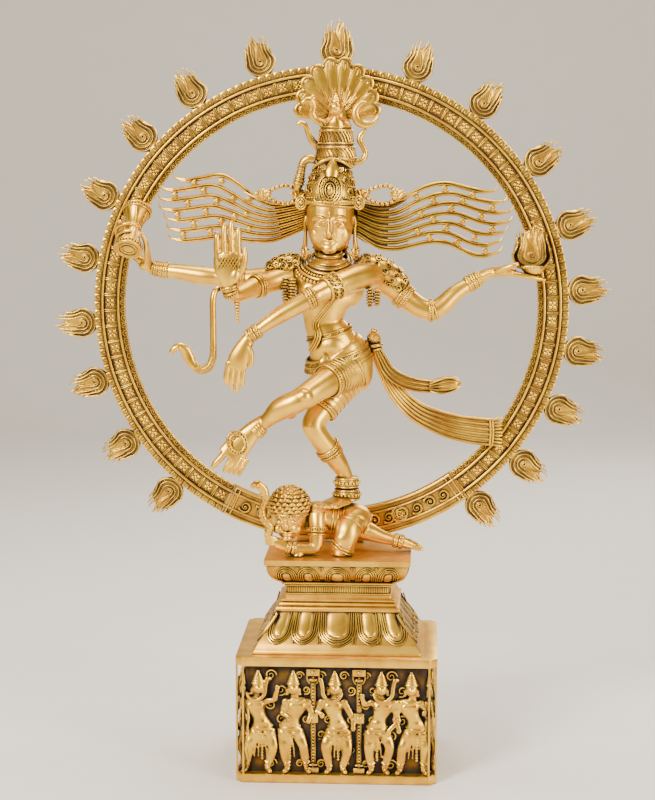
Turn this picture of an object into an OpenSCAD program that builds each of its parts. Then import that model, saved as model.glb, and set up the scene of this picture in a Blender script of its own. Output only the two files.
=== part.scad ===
// Dancing figure inside a ring of flames, on a two-tier pedestal, all in cast brass.
// Millimetres, +Z up, origin at the middle of the lower box's open bottom, front towards -Y.

/* [Lower box] */
// Width of the lower box over its rims
box_w = 228; // [200:1:260]
// Depth of the lower box over its rims
box_d = 178; // [150:1:200]
// Height of the lower box
box_h = 146; // [110:1:190]
// Cut across each upright corner
corner_cut = 8; // [5:1:14]
// Height of the plain rim at top and bottom
rim_h = 10; // [7:0.5:14]
// Depth of the recess that holds each relief panel
recess = 11; // [8:0.5:13]
// Width of the post at each corner
post_w = 13; // [12:0.5:18]

/* [Castings] */
// Wall thickness of the hollow castings
wall = 4; // [3:0.5:6]
// Thickness of the relief panels' back plates
panel_t = 3; // [2:0.5:4]

/* [Lotus pedestal] */
// Half width of the lotus pedestal where it stands on the box
lotus_half_w = 95.5; // [90:0.5:98]
// Height of the lotus pedestal up to the seat plate
lotus_h = 100; // [85:1:120]
// How much less deep than wide each course is, measured from the middle
plan_less = 20; // [16:1:24]

/* [Seat plate] */
// How far inside the pedestal's foot the seat plate's edge lies
seat_inset = 12.5; // [6:0.5:15.5]
// Thickness of the seat plate
seat_t = 6; // [5:0.5:9]

/* [Ring] */
// Outside radius of the ring
ring_outer = 276.5; // [260:0.5:285]
// Radial width of the ring
ring_band = 37.5; // [32:0.5:42]
// Thickness of the ring over its ridges
ring_t = 11; // [9:0.5:13]
// Distance of the ring's middle plane behind the middle of the pedestal
ring_back = 45; // [42:1:48]
// Gap between the ring's lowest point and the seat
ring_lift = 2; // [1:0.5:8]
// How far left of the pedestal's middle the ring stands
ring_left = 13; // [6:1:16]
// How far left of the pedestal's middle the figure stands
figure_left = 8; // [4:1:12]

/* [Flames] */
// Length of a flame
flame_len = 49; // [42:1:56]
// Width of a flame
flame_w = 34; // [28:1:38]
// Thickness of a flame
flame_t = 7; // [5:0.5:9]
// Length of the flame at the top
top_flame_len = 54; // [48:1:62]

/* [Fasteners] */
// Diameter of the studs that hold the figure and the ring
stud_d = 6; // [5:0.5:8]
// Diameter of the bolts that hold the pedestal to the box
bolt_d = 6; // [5:0.5:8]

/* [Hidden] */

clearance = 0.2;              // between pieces that are brazed or bolted together
seat_z = box_h + lotus_h + seat_t;
panel_low = rim_h + 3;
panel_high = box_h - rim_h - 1;
panel_w = box_w - 2 * post_w;
panel_d = box_d - 2 * post_w;
ring_inner = ring_outer - ring_band;
ring_z = seat_z + ring_lift + ring_outer;
right_joint = -54;            // angle of the joint at the right foot of the ring
left_joint = 242;             // angle of the joint at the left foot
seat_half_w = lotus_half_w - seat_inset;
// The bolts stand in the corners of whichever is smaller, the pedestal's foot or the hollow of the box.
bolt_x = min(lotus_half_w - 22, box_w / 2 - recess - wall - 15);
bolt_y = min(lotus_half_w - plan_less - 22, box_d / 2 - recess - wall - 15);
stud_hole = stud_d / 2 + 0.25;
bolt_hole = bolt_d / 2 + 0.25;
nut_w = stud_d * 1.7;
nut_h = stud_d * 0.8;
ring_stud_x = 30;
figure_stud_at = [[14, -24], [-38, -38]];   // under the dwarf's knee and elbow
left_angles = [16, 33, 48, 64, 79, 94, 108, 124, 139];    // from the top, going left
right_angles = [20, 37, 55, 71, 86, 100, 114, 129, 143];  // from the top, going right
brass = [0.80, 0.62, 0.26];
dark_brass = [0.55, 0.40, 0.16];
steel = [0.60, 0.61, 0.62];

// ---- Shared shapes ----

function unit(v) = v / norm(v);
function place(s) = [s[0], s[1], s[2]];
function heading(s, i) = unit(place(s[min(i + 1, len(s) - 1)]) - place(s[max(i - 1, 0)]));
function section(s, i, sides, ref) =
    let (t = heading(s, i), u = unit(cross(t, ref)), v = cross(u, t))
    [for (k = [0 : sides - 1])
        place(s[i]) + s[i][3] * cos(360 * k / sides) * u + s[i][4] * sin(360 * k / sides) * v];

// A tapering limb or strand: each station is x, y, z, radius across, radius front to back.
module limb(s, sides = 10, ref = [0, 1, 0]) {
    last = len(s) - 1;
    polyhedron(
        points = [for (i = [0 : last]) each section(s, i, sides, ref)],
        faces = concat(
            [[for (k = [sides - 1 : -1 : 0]) k]],
            [for (i = [0 : last - 1], k = [0 : sides - 1], half = [0, 1])
                let (a = i * sides + k, b = i * sides + (k + 1) % sides)
                half == 0 ? [a, b, b + sides] : [a, b + sides, a + sides]],
            [[for (k = [0 : sides - 1]) last * sides + k]]));
}

// A closed band round a body: middle, half width, half depth, slope to the right, thickness.
module band(at, rx, ry, slope, r_across, r_up, sides = 6, steps = 16) {
    limb([for (i = [0 : steps]) let (a = 92 + 356 * i / steps)    // its ends nearly meet at the back

        [at[0] + rx * cos(a), at[1] + ry * sin(a), at[2] + slope * cos(a), r_across, r_up]],
        sides, [0, 0, 1]);
}

module cut_corner_plan(w, d, c) {
    polygon([[-w / 2 + c, -d / 2], [w / 2 - c, -d / 2], [w / 2, -d / 2 + c], [w / 2, d / 2 - c],
             [w / 2 - c, d / 2], [-w / 2 + c, d / 2], [-w / 2, d / 2 - c], [-w / 2, -d / 2 + c]]);
}

module slab(low, high, w, d, c) {
    translate([0, 0, low]) linear_extrude(high - low) cut_corner_plan(w, d, c);
}

// A course whose half width runs through [height, half width] pairs, with square corners.
module course(rows, less) {
    last = len(rows) - 1;
    polyhedron(
        points = [for (r = rows) each [[-r[1], less - r[1], r[0]], [r[1], less - r[1], r[0]],
                                       [r[1], r[1] - less, r[0]], [-r[1], r[1] - less, r[0]]]],
        faces = concat([[0, 1, 2, 3]],
            [for (i = [0 : last - 1], k = [0 : 3])
                [4 * i + k, 4 * i + 4 + k, 4 * i + 4 + (k + 1) % 4, 4 * i + (k + 1) % 4]],
            [[4 * last + 3, 4 * last + 2, 4 * last + 1, 4 * last]]));
}

module at_figure() {
    translate([-figure_left, 0, seat_z]) children();
}

module at_ring() {
    translate([-ring_left, ring_back, ring_z]) rotate([90, 0, 0]) children();
}

// ---- Lower box and its relief panels ----

module lower_box() {
    color(brass) difference() {
        union() {
            slab(0, rim_h, box_w, box_d, corner_cut);
            slab(rim_h, box_h - rim_h, box_w - 3, box_d - 3, corner_cut);
            slab(box_h - rim_h, box_h, box_w, box_d, corner_cut);
        }
        slab(-1, box_h - wall, box_w - 2 * (recess + wall), box_d - 2 * (recess + wall), corner_cut);
        slab(box_h - wall - 1, box_h + 1, 2 * bolt_x - 32, 2 * bolt_y - 32, corner_cut);    // way in to the nuts
        for (side = [-1, 1]) {
            translate([-panel_w / 2, side * box_d / 2 - (side > 0 ? recess : 0), panel_low])
                cube([panel_w, recess, panel_high - panel_low]);
            translate([side * box_w / 2 - (side > 0 ? recess : 0), -panel_d / 2, panel_low])
                cube([recess, panel_d, panel_high - panel_low]);
        }
        for (x = [-bolt_x, bolt_x], y = [-bolt_y, bolt_y])
            translate([x, y, box_h - 2 * wall]) cylinder(r = bolt_hole, h = 3 * wall, $fn = 48);
    }
}

// One dancer in high relief, standing at x, its height h, leaning to one side.
module relief_dancer(x, h, lean) {
    k = h / 110;
    translate([x, -panel_t, panel_low + 3]) scale(k) {
        limb([[-9 * lean, -3, 0, 4, 3], [-4 * lean, -4, 26, 5, 4], [3 * lean, -4, 48, 9, 5],
              [-2 * lean, -4, 62, 6, 4], [0, -4, 78, 9, 5], [0, -4, 85, 4, 3]], 8);
        limb([[10 * lean, -3, 2, 4, 3], [12 * lean, -5, 24, 5, 4], [4 * lean, -4, 46, 6, 4]], 6);
        limb([[0, -4, 82, 5, 4], [0, -5, 91, 7, 5], [0, -4, 99, 6, 5], [0, -3, 110, 2, 2]], 8);
        limb([[-8, -4, 80, 4, 3], [-15, -4, 70, 3, 3], [-13 - 3 * lean, -5, 58, 3, 3]], 6);
        limb([[8, -4, 80, 4, 3], [16, -4, 78, 3, 3], [18 + 3 * lean, -4, 92, 3, 3]], 6);
    }
}

// A panel of dancers between pillars. Its back lies on the plane y = 0 and its front looks to -Y.
module relief_panel(w, dancers) {
    pitch = w / dancers;
    color(dark_brass) {
        translate([-w / 2 + clearance, -panel_t, panel_low + clearance])
            cube([w - 2 * clearance, panel_t, panel_high - panel_low - 2 * clearance]);
        for (i = [0 : dancers - 1])
            relief_dancer((i - (dancers - 1) / 2) * pitch, panel_high - panel_low - 8, i % 2 == 0 ? 1 : -1);
    }
}

module relief_front() { translate([0, recess - box_d / 2, 0]) relief_panel(panel_w, 5); }
module relief_back() { rotate([0, 0, 180]) relief_front(); }
module relief_right() {
    translate([box_w / 2 - recess, 0, 0]) rotate([0, 0, 90]) relief_panel(panel_d, 4);
}
module relief_left() { rotate([0, 0, 180]) relief_right(); }

// ---- Lotus pedestal, seat plate and their bolts ----

// Heights are shares of the pedestal's own height, half widths are taken in from its foot.
lotus_rows = [[0, 0], [0.03, 0.3], [0.065, 2.5], [0.13, 6.2], [0.19, 10.5], [0.25, 15], [0.31, 19.8],
    [0.375, 24.2], [0.44, 28], [0.441, 26], [0.5, 26], [0.501, 29.5], [0.54, 29.5], [0.541, 30.8],
    [0.58, 30.8], [0.581, 36.5], [0.70, 36.5], [0.701, 32], [0.745, 32], [0.746, 34.5], [0.785, 28.5],
    [0.83, 22.5], [0.88, 18.5], [0.94, 16], [1, 15.2]];
function lotus_half(row) = lotus_half_w - row[1];

// The hollow inside, before the wall is added.
hollow_rows = [[0, 0], [0.13, 7], [0.25, 16], [0.375, 26], [0.5, 36.5], [0.72, 36.5], [0.785, 30],
    [0.88, 20], [1, 16]];

module lotus_pedestal() {
    lug_h = 12;
    color(brass) translate([0, 0, box_h]) difference() {
        course([for (r = lotus_rows) [r[0] * lotus_h, lotus_half(r)]], plan_less);
        difference() {
            translate([0, 0, -0.5]) course(
                [for (r = hollow_rows) [r[0] * (lotus_h + 1), lotus_half(r) - wall]], plan_less);
            for (x = [-1, 1], y = [-1, 1])    // lugs in the corners take the bolts from the box
                translate([x > 0 ? bolt_x - 8 : -lotus_half_w, y > 0 ? bolt_y - 8 : plan_less - lotus_half_w, -1])
                    cube([lotus_half_w - bolt_x + 8, lotus_half_w - plan_less - bolt_y + 8, lug_h + 1]);
        }
        for (x = [-bolt_x, bolt_x], y = [-bolt_y, bolt_y])
            translate([x, y, -1]) cylinder(r = bolt_hole, h = lug_h + 2, $fn = 48);
    }
}

module seat_plate() {
    w = 2 * seat_half_w;
    d = w - 2 * plan_less;
    color(brass) difference() {
        slab(box_h + lotus_h, seat_z, w, d, 2);
        for (at = figure_stud_at) translate([at[0] - figure_left, at[1], seat_z - 2 * seat_t])
            cylinder(r = stud_hole, h = 3 * seat_t, $fn = 48);
        for (side = [-1, 1]) translate([side * ring_stud_x - ring_left, ring_back, seat_z - 2 * seat_t])
            cylinder(r = stud_hole, h = 3 * seat_t, $fn = 48);
    }
}

module pedestal_bolts() {
    color(steel) for (x = [-bolt_x, bolt_x], y = [-bolt_y, bolt_y]) translate([x, y, box_h - wall]) {
        translate([0, 0, -bolt_d * 0.7]) cylinder(r = bolt_d * 0.95, h = bolt_d * 0.7, $fn = 6);
        cylinder(r = bolt_d / 2, h = wall + 12, $fn = 48);
    }
}

// ---- Ring of flames ----

// Cross-section of the ring: plain leaf border, ridge, channel, ridge, lace border.
ring_steps = [[0, 3], [7.5, 3.4], [8, 5.5], [10.5, 5.5], [11, 4.2], [26, 4.2], [26.5, 5.5], [29, 5.5],
    [29.5, 3.6], [37.5, 3]];
function ring_point(s, side) =
    [ring_inner + s[0] * ring_band / 37.5, side * s[1] * ring_t / 11];

module ring_arc(from, to) {
    count = len(ring_steps) - 1;
    at_ring() rotate([0, 0, from]) rotate_extrude(angle = to - from, $fn = 180)
        polygon(concat([for (s = ring_steps) ring_point(s, -1)],
            [for (i = [count : -1 : 0]) ring_point(ring_steps[i], 1)]));
}

module ring_arch() { color(brass) ring_arc(right_joint + 0.05, left_joint - 0.05); }

// The foot's pad fills the gap down to the seat, and takes a stud.
module ring_foot(from, to, side) {
    pad_h = ring_lift + ring_outer - sqrt(pow(ring_outer, 2) - pow(ring_stud_x + 9, 2)) + 3;
    color(brass) difference() {
        union() {
            ring_arc(from, to);
            translate([side * ring_stud_x - ring_left - 9, ring_back - ring_t / 2, seat_z])
                cube([18, ring_t, pad_h]);
        }
        translate([side * ring_stud_x - ring_left, ring_back, seat_z - 1])
            cylinder(r = stud_hole, h = 17, $fn = 48);
    }
}

module ring_foot_right() { ring_foot(-90.03, right_joint - 0.05, 1); }
module ring_foot_left() { ring_foot(left_joint + 0.05 - 360, -90.08, -1); }

module ring_studs() {
    color(steel) for (side = [-1, 1]) translate([side * ring_stud_x - ring_left, ring_back, seat_z - seat_t])
        translate([0, 0, -nut_h - 3]) cylinder(r = stud_d / 2, h = seat_t + nut_h + 18, $fn = 48);
}

// A flame: a leaf that swells from a narrow root, then breaks into curling tongues.
function flame_half(t, w) = w * (0.12 + 0.38 * sin(150 * pow(t, 0.8)));
module flame_leaf(len, w) {
    rise = 0.62;
    steps = 7;
    tongues = 5;
    side_a = [for (i = [0 : steps]) let (t = rise * i / steps) [flame_half(t, w), t * len]];
    side_b = [for (i = [steps : -1 : 0]) let (t = rise * i / steps) [-flame_half(t, w), t * len]];
    tips = [for (i = [0 : tongues - 1])
        let (x = w * (0.36 - 0.18 * i), top = len * (1 - 0.05 * pow(i - 2, 2)))
        each [[x + w * 0.05, top - len * 0.02], [x, top], [x - w * 0.09, top - len * 0.17]]];
    rotate([90, 0, 0]) translate([0, 0, -flame_t / 2]) linear_extrude(flame_t)
        polygon(concat(side_a, tips, side_b));
}

module flame_at(angle, len, w) {
    translate([-ring_left, ring_back, ring_z]) rotate([0, angle, 0])
        translate([0, 0, ring_outer]) flame_leaf(len, w);
}

module flame_left(i) { color(brass) flame_at(-left_angles[i - 1], flame_len, flame_w); }
module flame_right(i) { color(brass) flame_at(right_angles[i - 1], flame_len, flame_w); }
module top_flame() { color(brass) flame_at(1.5, top_flame_len, flame_w * 1.2); }

// ---- The dancer ----

module torso() {
    color(brass) at_figure() limb([
        [14, -4, 203, 24, 18], [11, -6, 214, 35, 24], [6, -8, 228, 33, 25], [1, -10, 240, 30, 22],
        [-5, -12, 254, 25, 19], [-10, -12, 264, 22, 17], [-10, -12, 275, 25, 18], [-9, -10, 291, 36, 22],
        [-3, -5, 308, 45, 23], [-3, 0, 322, 39, 19], [-2, -4, 332, 17, 15], [-3, -8, 346, 15, 15]], 14);
}

module head() {
    color(brass) at_figure() limb([
        [-3, -22, 346, 8, 8], [-3, -17, 351, 18, 16], [-3, -14, 360, 23, 20], [-2, -12, 374, 27, 23],
        [-2, -10, 388, 28, 25], [-2, -8, 400, 27, 24]], 14);
}

module crown() {
    color(brass) at_figure() {
        limb([[-2, -8, 400.3, 29, 26], [-2, -8, 410, 29, 26], [-1, -6, 424, 26, 24], [0, -3, 437, 21, 20],
              [2, 0, 447, 15, 15]], 14);
        translate([3.5, 2, 447]) rotate_extrude($fn = 64) polygon([[0, 0], [23, 0], [24, 4], [22, 7],
            [23, 10], [21, 15], [22, 19], [19, 23], [20, 28], [18, 32], [19, 36], [14, 41], [12, 48], [0, 48]]);
        limb([[25, 4, 452, 4, 4], [33, 4, 452, 4, 4], [38, 4, 458, 4, 4], [36, 4, 466, 3, 3]], 6);
        limb([[-17, 4, 466, 5, 4], [-27, 4, 472, 4, 4], [-33, 4, 480, 4, 4], [-37, 4, 488, 2, 2]], 6);
    }
}

module crown_bust() {
    color(brass) at_figure() {
        limb([[4, -10, 489, 9, 8], [4, -12, 496, 7, 6], [4, -13, 500, 9, 8], [4, -13, 508, 9, 9],
              [4, -12, 516, 6, 6], [4, -11, 521, 2, 2]], 10);
        limb([[-9, -6, 489, 4, 4], [-18, -6, 494, 4, 4], [-25, -6, 502, 5, 3], [-23, -8, 512, 4, 4],
              [-30, -10, 513, 2, 2]], 6);
    }
}

module crown_fan() {
    lobes = 9;
    reach = 68;
    color(brass) at_figure() translate([4, 21, 494]) rotate([90, 0, 0]) linear_extrude(7)
        polygon(concat([[9, 0], [-9, 0]], [for (i = [0 : 4 * lobes])
            let (a = 163 - 146 * i / (4 * lobes), r = reach - 15 * pow(cos(a), 2)
                - 4 * pow(cos(45 * i), 4))
            [r * cos(a) * 0.84, r * sin(a)]]));
}

module crescent() {
    color(brass) at_figure() translate([36, -1, 499]) rotate([90, 0, 0]) linear_extrude(6) difference() {
        circle(r = 17, $fn = 64);
        translate([-5, 7]) circle(r = 16, $fn = 64);
        translate([-24, -20]) square([14, 40]);
    }
}

// Necklaces, shoulder ornaments and tassels, cast as one collar.
module collar() {
    color(brass) at_figure() {
        band([-2, -8, 337], 20, 17, 0, 2.5, 2.5);
        band([-2, -12, 328], 31, 22, 0, 3, 3);
        limb([[-28, 0, 331, 10, 11], [-48, 4, 327, 14, 14], [-66, 6, 322, 13, 15], [-80, 8, 317, 8, 12]], 8);
        limb([[24, 0, 331, 10, 11], [46, 4, 326, 14, 14], [66, 6, 316, 15, 15], [80, 8, 304, 12, 14],
              [88, 8, 296, 8, 12]], 8);
        limb([[-50, -12, 312, 5, 4], [-51, -14, 298, 6, 5], [-52, -14, 281, 4, 4]], 6);
        limb([[46, -12, 302, 6, 5], [47, -14, 292, 5, 5], [44, -14, 278, 3, 3]], 6);
    }
}

module waist_belt() {
    color(brass) at_figure() {
        band([-2, -11, 246], 28, 22, 7, 2.5, 4.5);
        band([4, -8, 232], 33, 26, 9, 2.5, 4);
    }
}

module loincloth() {
    color(brass) at_figure() {
        limb([[6, -8, 231, 35, 27], [11, -6, 214, 37, 27], [14, -5, 202, 32, 23], [12, -6, 190, 26, 21]], 12);
        limb([[20, -12, 214, 25, 22], [10, -24, 208, 22, 20], [2, -36, 203, 20, 18]], 12);
        limb([[10, -8, 196, 22, 20], [0, -20, 180, 19, 18], [-7, -26, 170, 17, 16]], 12);
    }
}

// ---- Hair: seven wavy strands a side, tied by small diamonds ----

// Stations outward from the head, the heights there of the top and bottom strand, and where each strand ends.
hair_x = [28, 50, 70, 90, 110, 131, 155, 173, 186];
hair_top = [[402, 399, 397, 405, 420, 431, 428, 425, 427], [402, 396, 398, 410, 419, 422, 416.5, 413, 413]];
hair_low = [[374, 364, 357.5, 357, 359, 361, 358, 356.5, 358], [365, 351, 348, 352, 356, 354, 342, 340, 344]];
hair_tip = [[180, 196, 198, 197, 191, 188, 186], [182, 193, 200, 199, 194, 188, 188]];
strands = len(hair_tip[0]);
function station(k, s, i) = let (f = s / (strands - 1), x = 28 + (hair_x[i] - 28) * (hair_tip[k][s] - 28) / 158)
    [(2 * k - 1) * x, 6 + 0.1 * (x - 28), hair_top[k][i] * (1 - f) + hair_low[k][i] * f];
function between_stations(k, s, u) = let (i = floor(u))
    station(k, s, i) * (1 - u + i) + station(k, s, i + 1) * (u - i);

module hair(k) {
    color(brass) at_figure() {
        for (s = [0 : strands - 1]) limb([for (i = [0 : 8])
            concat(station(k, s, i), [i > 7 ? 1.2 : 2.4, 2.4])], 6);
        for (s = [0 : strands - 2], j = [0 : 2]) let (
            u = 2.6 + 1.8 * j + (s % 2 == 0 ? 0 : 0.8),
            high = between_stations(k, s, u), low = between_stations(k, s + 1, u),
            half = (high[2] - low[2]) / 2)
            translate([high[0], high[1] + 1.5, low[2] + half]) rotate([90, 0, 0]) linear_extrude(3)
                polygon([[0, half], [3, 0], [0, -half], [-3, 0]]);
    }
}
module hair_left() { hair(0); }
module hair_right() { hair(1); }

// ---- Arms, and what the hands hold ----

module rear_right_arm() {
    color(brass) at_figure() {
        limb([[-46, 8, 317, 15, 14], [-70, 9, 314, 14, 13], [-99, 12, 313, 12.5, 12], [-125, 14, 315, 11, 11],
              [-148, 15, 316, 10.5, 10], [-177, 18, 320, 9.5, 9], [-201, 20, 323, 8, 8],
              [-215, 20, 326, 7, 7]], 10);
        limb([[-95, 12, 313, 14, 13.5], [-104, 12, 313, 14, 13.5]], 12);
        limb([[-213, 20, 326, 7, 6], [-222, 18, 332, 7, 6], [-230, 12, 343, 6, 5], [-234, 8, 352, 4, 4]], 8);
        limb([[-221, 24, 331, 5, 5], [-226, 30, 342, 4, 4], [-230, 34, 352, 3, 3]], 6);
    }
}

module rear_left_arm() {
    color(brass) at_figure() {
        limb([[44, 6, 318, 15, 14], [67, 8, 306, 15, 14], [79, 8, 295, 13.5, 13], [97, 8, 283, 12.5, 12],
              [113, 8, 277, 11.5, 11], [125, 9, 284, 11, 11], [139, 12, 298, 10, 10], [159, 16, 310, 8, 8],
              [170, 18, 317, 7, 7]], 10);
        limb([[168, 18, 316, 6, 7], [178, 19, 321, 6, 8], [196, 20, 323, 6, 11], [210, 21, 319, 5, 11],
              [222, 22, 315, 3, 9], [240, 22, 312, 2, 4]], 8);
    }
}

module front_right_arm() {
    color(brass) at_figure() {
        limb([[-56, -4, 316, 13, 12], [-72, -14, 311, 13, 12], [-86, -30, 307, 12, 11], [-98, -46, 302, 10, 10],
              [-106, -57, 300, 9, 9], [-111, -62, 306, 8, 8]], 10);
        limb([[-112, -63, 304, 8, 7], [-112, -65, 314, 9, 7], [-112, -66, 328, 15, 7], [-112, -66, 340, 16, 7],
              [-113, -67, 350, 14, 6]], 10);
        for (i = [0 : 3]) let (x = -123 + 7 * i, tip = [372, 381, 384, 377][i])
            limb([[x, -67, 344, 3.6, 4], [x, -68, 360, 3.3, 3.6], [x, -69, tip, 2, 2]], 6);
        limb([[-99, -66, 330, 4, 4], [-95, -68, 342, 3.6, 3.6], [-95, -69, 354, 2, 2]], 6);
        limb([[-104, -56, 300, 6, 5], [-103, -57, 286, 6, 5], [-103, -57, 271, 4, 4]], 6);
    }
}

module front_left_arm() {
    color(brass) at_figure() {
        limb([[48, -4, 320, 15, 14], [36, -18, 319, 16, 15], [23, -30, 316, 16, 15], [8, -45, 312, 15, 14],
              [-9, -58, 304, 12, 12], [-23, -68, 297, 10.5, 10.5], [-54, -74, 280, 9.5, 9.5],
              [-79, -78, 263, 7, 7], [-88, -78, 257, 6.5, 6.5]], 10);
        limb([[-87, -78, 259, 7, 6], [-93, -79, 247, 10, 6], [-100, -80, 231, 12.5, 5.5],
              [-104, -80, 218, 12, 5]], 8);
        for (i = [0 : 3]) let (x = -116 + 6.4 * i, tip = [200, 195, 193, 199][i])
            limb([[x + 2, -80, 222, 3.2, 3.4], [x, -80, 210, 3, 3], [x + 1, -78, tip, 1.6, 1.8]], 6);
    }
}

// Hourglass drum, its drumheads up and down, tilted a little.
module drum() {
    color(brass) at_figure() translate([-233, 20, 366]) rotate([0, 8, 0]) rotate_extrude($fn = 64)
        polygon([[0, -30], [15, -30], [16, -27], [15, -23], [8, -4], [7.5, 0], [8, 4], [15, 23], [16, 27],
            [15, 30], [0, 30]]);
}

// Open bowl with a pointed tongue of fire standing in it.
module fire_bowl() {
    color(brass) at_figure() {
        translate([222, 21, 321]) difference() {
            translate([0, 0, 13]) sphere(r = 14, $fn = 48);
            translate([0, 0, 13]) sphere(r = 11.5, $fn = 48);
            translate([-20, -20, 14]) cube([40, 40, 30]);
            translate([0, 0, -8]) cylinder(r = 20, h = 8, $fn = 48);
        }
        limb([[222, 21, 323, 7, 7], [222, 21, 334, 11, 10], [224, 21, 344, 14, 11], [223, 21, 354, 13, 10],
              [221, 21, 364, 8, 7], [220, 21, 372, 2, 2]], 10);
    }
}

module arm_snake() {
    color(brass) at_figure() limb([[-127, -60, 306, 3, 3], [-130, -63, 296, 3.3, 3.3], [-130, -64, 273, 3.3, 3.3],
        [-130, -64, 238, 3.5, 3.5], [-132, -64, 225, 4, 4], [-139, -64, 217, 4.5, 4.5], [-150, -64, 219, 5, 4.5],
        [-158, -64, 231, 5.5, 4], [-162, -64, 240, 5, 4], [-169, -65, 242, 3.5, 4], [-176, -66, 236, 2, 2.5]], 8);
}

// ---- Sash: a knot at the left hip and two flying ends ----

module sash_knot() {
    color(brass) at_figure() {
        translate([47, 3, 246]) sphere(r = 8, $fn = 32);
        limb([[34, -2, 238, 6, 6], [44, 2, 236, 6, 6], [54, 6, 234, 5, 7]], 8);
    }
}

module sash_upper() {
    color(brass) at_figure() limb([[51, 8, 233, 4, 6], [61, 9, 215, 5, 7], [75, 9, 200, 6, 8],
        [94, 10, 192, 6, 8], [117, 11, 190, 6, 8], [130, 12, 191, 9, 7], [139, 12, 192, 7, 6],
        [144, 12, 192, 3, 3]], 10);
}

module sash_lower() {
    color(brass) at_figure() limb([[50, 14, 228, 4, 5], [59, 16, 203, 5, 5], [75, 18, 177, 7, 5],
        [100, 20, 154, 10, 5], [135, 22, 141, 13, 5], [168, 24, 136, 15, 5], [188, 24, 135, 14, 4]], 10);
}

// ---- Legs ----

module standing_leg() {
    color(brass) at_figure() {
        limb([[9, -10, 194, 18, 17], [-5, -24, 176, 16, 15], [-20, -38, 153, 13.5, 13.5],
              [-13, -34, 137, 13, 13], [-3, -28, 123, 12.5, 12.5], [7, -22, 107, 11, 11], [14, -16, 93, 9.5, 9.5],
              [18, -14, 84, 9, 9], [20, -14, 72, 9, 9], [18, -16, 60, 12, 14]], 10);
        translate([18, -14, 77]) cylinder(r = 15, h = 8, $fn = 48);
        translate([20, -14, 69]) cylinder(r = 14, h = 6, $fn = 48);
        limb([[16, 8, 61, 9, 4], [14, -20, 61, 17, 6], [0, -38, 61, 14, 4], [-9, -46, 60, 8, 3]],
            8, [0, 0, 1]);
    }
}

module raised_leg() {
    color(brass) at_figure() {
        limb([[23, -15, 213, 22, 20], [7, -32, 207, 19, 18], [-8, -52, 200, 16, 15], [-26, -70, 189, 14, 14],
              [-37, -75, 184, 15, 12], [-54, -74, 176, 13.5, 11], [-66, -72, 166, 9.5, 8.5],
              [-76, -72, 155, 7, 7]], 10);
        limb([[-70, -70, 163, 5, 6], [-80, -72, 157, 9, 7], [-92, -75, 144, 12, 7], [-104, -79, 130, 14, 6],
              [-113, -82, 118, 15, 5]], 10);
        limb([[-120, -82, 124, 4, 4], [-125, -83, 117, 4, 4], [-131, -84, 110, 3, 3]], 6);
        for (i = [0 : 3]) let (x = -119 + 5.5 * i)
            limb([[x + 3, -82, 119 - i, 3, 3.5], [x - 1, -83, 110 - i, 2.8, 3], [x - 3, -84, 103 - i, 2, 2]], 6);
    }
}

// ---- The dwarf underfoot ----

module dwarf_body() {
    color(brass) at_figure() {
        limb([[-30, -12, 42, 12, 15], [-18, -11, 42, 16, 20], [-2, -10, 40, 16, 20], [15, -9, 38, 18, 22],
              [31, -7, 34, 19, 22], [40, -6, 30, 12, 15]], 12);
        limb([[22, -24, 38, 15, 12], [18, -32, 28, 15, 11], [16, -34, 16, 13, 10], [12, -34, 6, 13, 10],
              [10, -34, 0, 12, 10]], 10);
        limb([[33, -8, 26, 12, 12], [54, -8, 18, 8, 8], [72, -6, 13, 6, 6], [87, -4, 9, 3, 3]], 8);
        limb([[-16, -25, 46, 11, 10], [-16, -30, 29, 10, 10], [-17, -33, 8, 8, 8], [-34, -37, 8, 7, 7],
              [-46, -40, 10, 6, 6], [-58, -41, 14, 7, 6], [-70, -42, 19, 5, 5]], 10);
        translate([-38, -38, 0]) cylinder(r = 7, h = 8, $fn = 32);
    }
}

module dwarf_head() {
    color(brass) at_figure() limb([[-49, -24, 22, 11, 10], [-49, -25, 32, 20, 18], [-49, -25, 46, 23, 21],
        [-48, -24, 62, 22, 20], [-46, -20, 74, 16, 16], [-44, -18, 82, 7, 8]], 12);
}

module dwarf_snake() {
    color(brass) at_figure() limb([[-72, -44, 22, 4.5, 4.5], [-68, -46, 34, 4.5, 4.5], [-77, -46, 44, 4.5, 4.5],
        [-78, -46, 56, 3.5, 3.5], [-74, -46, 70, 3.5, 3.5], [-78, -47, 80, 5, 3], [-84, -49, 85, 5, 3],
        [-90, -51, 82, 3, 2]], 8);
}

module figure_studs() {
    color(steel) at_figure() for (at = figure_stud_at)
        translate([at[0], at[1], -seat_t - nut_h - 3]) cylinder(r = stud_d / 2, h = seat_t + nut_h + 3 - clearance,
            $fn = 48);
}

module nut_ring() {
    translate([0, 0, -nut_h]) difference() {
        cylinder(r = nut_w / 2 / cos(30), h = nut_h, $fn = 6);
        translate([0, 0, -1]) cylinder(r = stud_d / 2 + 0.05, h = nut_h + 2, $fn = 48);
    }
}

module stud_nuts() {
    color(steel) {
        for (at = figure_stud_at) translate([at[0] - figure_left, at[1], seat_z - seat_t]) nut_ring();
        for (side = [-1, 1]) translate([side * ring_stud_x - ring_left, ring_back, seat_z - seat_t]) nut_ring();
    }
}

// ---- Assembly ----

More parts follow.
